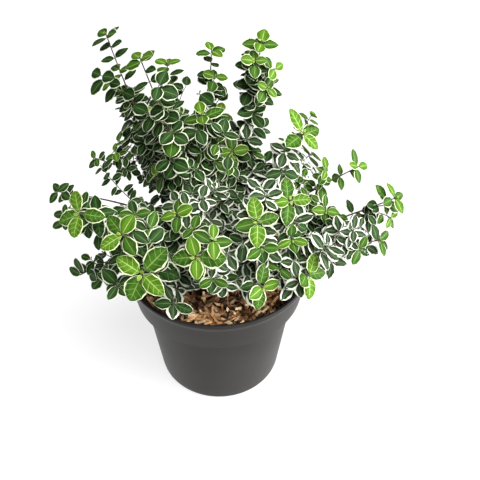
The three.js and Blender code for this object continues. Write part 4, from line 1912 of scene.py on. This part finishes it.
@dataclass(frozen=True)
class Mulch:
    """The potting mix and the bark chips that lie on it.

    The top of the mix starts top_above over the pot's step. It is moved by up
    to rough, and downwards by the share sunk of that. SHARES are the draws up
    to which a chip is each brown. As painted shade, each chip's flanks and
    underside are painted in darker browns than its top: the flanks one brown
    darker and the underside two.
    """

    chips: int = 1500
    edge_radius: float = 110.4
    edge_height: float = 167.0
    crown_height: float = 172.4
    gap: float = 0.5
    stem_clear: float = 12.0
    rough: float = 2.4
    sunk: float = 0.7
    top_above: float = 20.0
    rings: int = 41
    sides: int = 120
    chip: ChipSizes = field(default_factory=ChipSizes)
    pot: Pot = field(default_factory=Pot)

    MIX = GrainFinish("potting_mix", (64, 42, 27), (18, 11, 7), 90, 500, relief=1.0, depth=0.002)
    CHIPS = (
        GrainFinish("chip_straw", (255, 234, 194), (214, 174, 128)),
        GrainFinish("chip_tan", (240, 196, 144), (176, 128, 84)),
        GrainFinish("chip_ochre", (212, 158, 104), (136, 92, 55)),
        GrainFinish("chip_brown", (148, 102, 66), (82, 54, 32)),
        GrainFinish("chip_dark", (78, 51, 34), (36, 23, 15)),
    )
    SHARES = (0.27, 0.53, 0.76, 0.9)
    # Painted shade: how many browns darker a chip's top, flank, underside and other flank are painted.
    DARKER_SIDES = (0, 1, 2, 1)
    CHIP_SEEDS = range(11, 20)
    CORNER_SEED = 31

    def build(self, group: bpy.types.NodeTree) -> None:
        """Makes the mix and the chips.

        Args:
            group: the shared grain's node group.
        """
        mix = make_piece("mix_body", *self.mix_arrays(), [self.MIX.material(group)])
        hand_in(mix, "mulch", "potting_mix")
        browns = [finish.material(group) for finish in self.CHIPS]
        hand_in(make_piece("bark_chips", *self.chip_arrays(), browns, smooth=False), "mulch")

    def surface(self, radius: np.ndarray) -> np.ndarray:
        """Finds the height of the mix, which falls as the square of the distance."""
        return self.crown_height - (self.crown_height - self.edge_height) * (radius / self.edge_radius) ** 2

    def mix_arrays(self) -> tuple[np.ndarray, Faces]:
        """Makes the mix: it fills the pot, and its top is domed and rough.

        Returns:
            Vertices and polygons.
        """
        pot, inset = self.pot, self.pot.wall + self.gap
        radius = self.edge_radius * np.linspace(1, 0, self.rings)
        top = np.stack([radius, self.surface(radius)], axis=-1)
        body = [
            [0, pot.floor + self.gap],
            [pot.foot_radius - pot.foot_round, pot.floor + self.gap],
            [pot.foot_edge - inset, pot.foot_round + 2],
            [pot.body_top - inset, pot.step - 1],
            [pot.collar_foot_radius - inset, pot.step + pot.wall + 1],
        ]
        places, faces = turned(np.concatenate([body, top]), self.sides)
        x, y, height = places.T
        flat = np.hypot(x, y)
        inside = (flat > self.stem_clear) & (flat < self.edge_radius - 1)
        open_top = (height > pot.step + self.top_above) & inside
        rough = self.rough * (chance(np.round(x, 1), np.round(y, 1)) - self.sunk)
        places[:, 2] += np.where(open_top, rough, 0)
        return places, faces

    def chip_arrays(self) -> tuple[np.ndarray, Faces]:
        """Makes bark chips: flat splinters, thick in the middle and ragged at both ends.

        A chip's vertex lies along the chip, plus the cosine and sine of its
        angle times the chip's half width and half depth, each changed by a draw
        of its own. Chips are dealt out by the golden turn, evenly by area.

        Returns:
            Vertices and polygons.
        """
        chip, index = self.chip, np.arange(self.chips)
        draws = [chance(seed, index) for seed in self.CHIP_SEEDS]
        length = chip.length[0] + chip.length[1] * draws[0]
        width = chip.width[0] + chip.width[1] * draws[1] ** chip.width_power
        depth = chip.depth[0] + chip.depth[1] * draws[2]
        bearing, heading = index * GOLDEN_TURN, 2 * np.pi * draws[3]
        outwards = 0.5 * length * np.abs(np.cos(heading - bearing))
        room = self.edge_radius - chip.wall_gap - outwards - 0.5 * width
        radius = self.stem_clear + (room - self.stem_clear) * np.sqrt((index + 0.5) / self.chips)
        rise = chip.pitch * (draws[4] - 0.5) * np.clip((radius - self.stem_clear) / chip.level_within, 0, 1)
        high = self.surface(radius) + chip.pile[0] + chip.pile[1] * draws[5] ** chip.pile_power
        high += chip.pitch_lift * length * np.abs(rise)
        centre = np.stack([radius * np.cos(bearing), radius * np.sin(bearing), high], axis=-1)
        level = np.stack([np.cos(heading), np.sin(heading), 0 * heading], axis=-1)
        along = level * np.cos(rise)[:, None] + UP * np.sin(rise)[:, None]
        side = across(along, chip.roll * (draws[6] - 0.5) + self.level_turn(along))
        share = np.linspace(-0.5, 0.5, chip.rings)[:, None]
        angle = ring_angles(chip.sides, 0.5)
        corner = np.arange(chip.rings * chip.sides).reshape(chip.rings, -1)
        own = chance(index[:, None, None] + self.CORNER_SEED, corner)
        waist = (chip.middle - chip.pinch * share**2) * (chip.worn[0] + chip.worn[1] * own)
        length, width, depth, bent = [value[:, None, None] for value in (length, width, depth, draws[7])]
        run = length * (share + chip.chopped * (own - 0.5))
        out = 0.5 * width * np.cos(angle) * waist
        up = 0.5 * depth * np.sin(angle) * waist - chip.bow * length * (bent - chip.bow_less) * share**2
        axes = zip((run, out, up), (along, side, np.cross(along, side)))
        moved = sum(part[..., None] * axis[:, None, None, :] for part, axis in axes)
        places = centre[:, None, None, :] + moved
        faces = tube_faces(chip.rings, chip.sides).repeated(self.chips, chip.rings * chip.sides)
        # Painted shade: bark holds how many browns darker each face is painted, the flanks one and the
        # underside two, the ends none.
        bark = np.append(np.tile(self.DARKER_SIDES, chip.rings - 1), [0, 0])
        brown = np.searchsorted(self.SHARES, draws[8])[:, None] + bark
        faces.slots = np.minimum(brown, len(self.CHIPS) - 1).ravel()
        return places.reshape(-1, 3), faces

    def level_turn(self, along: np.ndarray) -> np.ndarray:
        """Finds the turn for across() that lays each chip's width level.

        Args:
            along: unit vectors along the chips.

        Returns:
            The angles, by the arc tangent of the level vector's two parts.
        """
        level = unit(np.cross(UP, along))
        turns = np.zeros(len(along)), np.full(len(along), QUARTER_TURN)
        first, second = [dot(level, across(along, turn))[:, 0] for turn in turns]
        return np.arctan2(second, first)


# Studio


@dataclass(frozen=True)
class Sun:
    """A soft light from one side all over: its side, strength and width in degrees."""

    name: str
    side: Point
    strength: float
    softness: float

    def build(self) -> None:
        """Makes the light and points it at the plant."""
        lamp = bpy.data.lights.new(self.name, "SUN")
        lamp.energy = self.strength
        lamp.angle = math.radians(self.softness)
        holder = bpy.data.objects.new(self.name, lamp)
        holder.rotation_euler = (-Vector(self.side)).to_track_quat("-Z", "Y").to_euler()
        bpy.context.scene.collection.objects.link(holder)


@dataclass(frozen=True)
class Studio:
    """The pale floor, the soft lights and the camera, none of them the plant's."""

    camera: Point = (0.0269, -0.5169, 0.6456)
    pitch: float = 40.0
    roll: float = 0.76
    focal_pixels: float = 550.0
    image_pixels: float = 480.0
    sensor: float = 36.0
    near: float = 0.01
    floor_half: float = 6000.0
    floor_grey: float = 0.3
    floor_glow: float = 0.76
    sky: float = 0.22

    WHITE = (1.0, 1.0, 1.0, 1.0)
    SUNS = (Sun("key", (0.25, -0.4, 1.0), 2.6, 34.0), Sun("side", (1.0, -0.2, 0.3), 5.0, 44.0))

    def build(self) -> None:
        """Makes the camera, the floor, the lights and the world."""
        self.eye()
        self.floor()
        for sun in self.SUNS:
            sun.build()
        world = bpy.data.worlds.new("studio")
        world.use_nodes = True
        light = {"Color": self.WHITE, "Strength": self.sky}
        Nodes(world.node_tree).feed(world.node_tree.nodes["Background"], light)
        bpy.context.scene.world = world
        bpy.context.scene.view_settings.view_transform = "Standard"

    def eye(self) -> None:
        """Makes the camera, pitched down and rolled as the photograph's was."""
        eye = bpy.data.cameras.new("camera")
        eye.sensor_width = self.sensor
        eye.lens = self.sensor * self.focal_pixels / self.image_pixels
        eye.clip_start = self.near
        camera = bpy.data.objects.new("camera", eye)
        tilt = Matrix.Rotation(math.radians(90 - self.pitch), 4, "X")
        roll = Matrix.Rotation(math.radians(self.roll), 4, "Z")
        camera.matrix_world = Matrix.Translation(self.camera) @ tilt @ roll
        bpy.context.scene.collection.objects.link(camera)
        bpy.context.scene.camera = camera

    def floor(self) -> None:
        """Makes a pale floor under the pot, lit from within as a light table is."""
        half = self.floor_half
        corners = np.array([[-half, -half, 0], [half, -half, 0], [half, half, 0], [-half, half, 0]])
        paint, nodes = new_material("floor_paint")
        grey = (*[self.floor_grey] * 3, 1.0)
        nodes.shade({"Base Color": grey, "Roughness": 0.9, "Specular IOR Level": 0.1})
        nodes.shade({"Emission Color": self.WHITE, "Emission Strength": self.floor_glow})
        make_piece("floor", corners, listed(np.arange(4)[None]), [paint])


def main() -> None:
    """Builds the studio and the plant."""
    logging.basicConfig(level=logging.INFO, format="%(name)s %(message)s")
    Studio().build()
    group = Grain().group()
    Pot().build(group)
    Mulch().build(group)
    Crown().build(group)


if __name__ == "__main__":
    main()
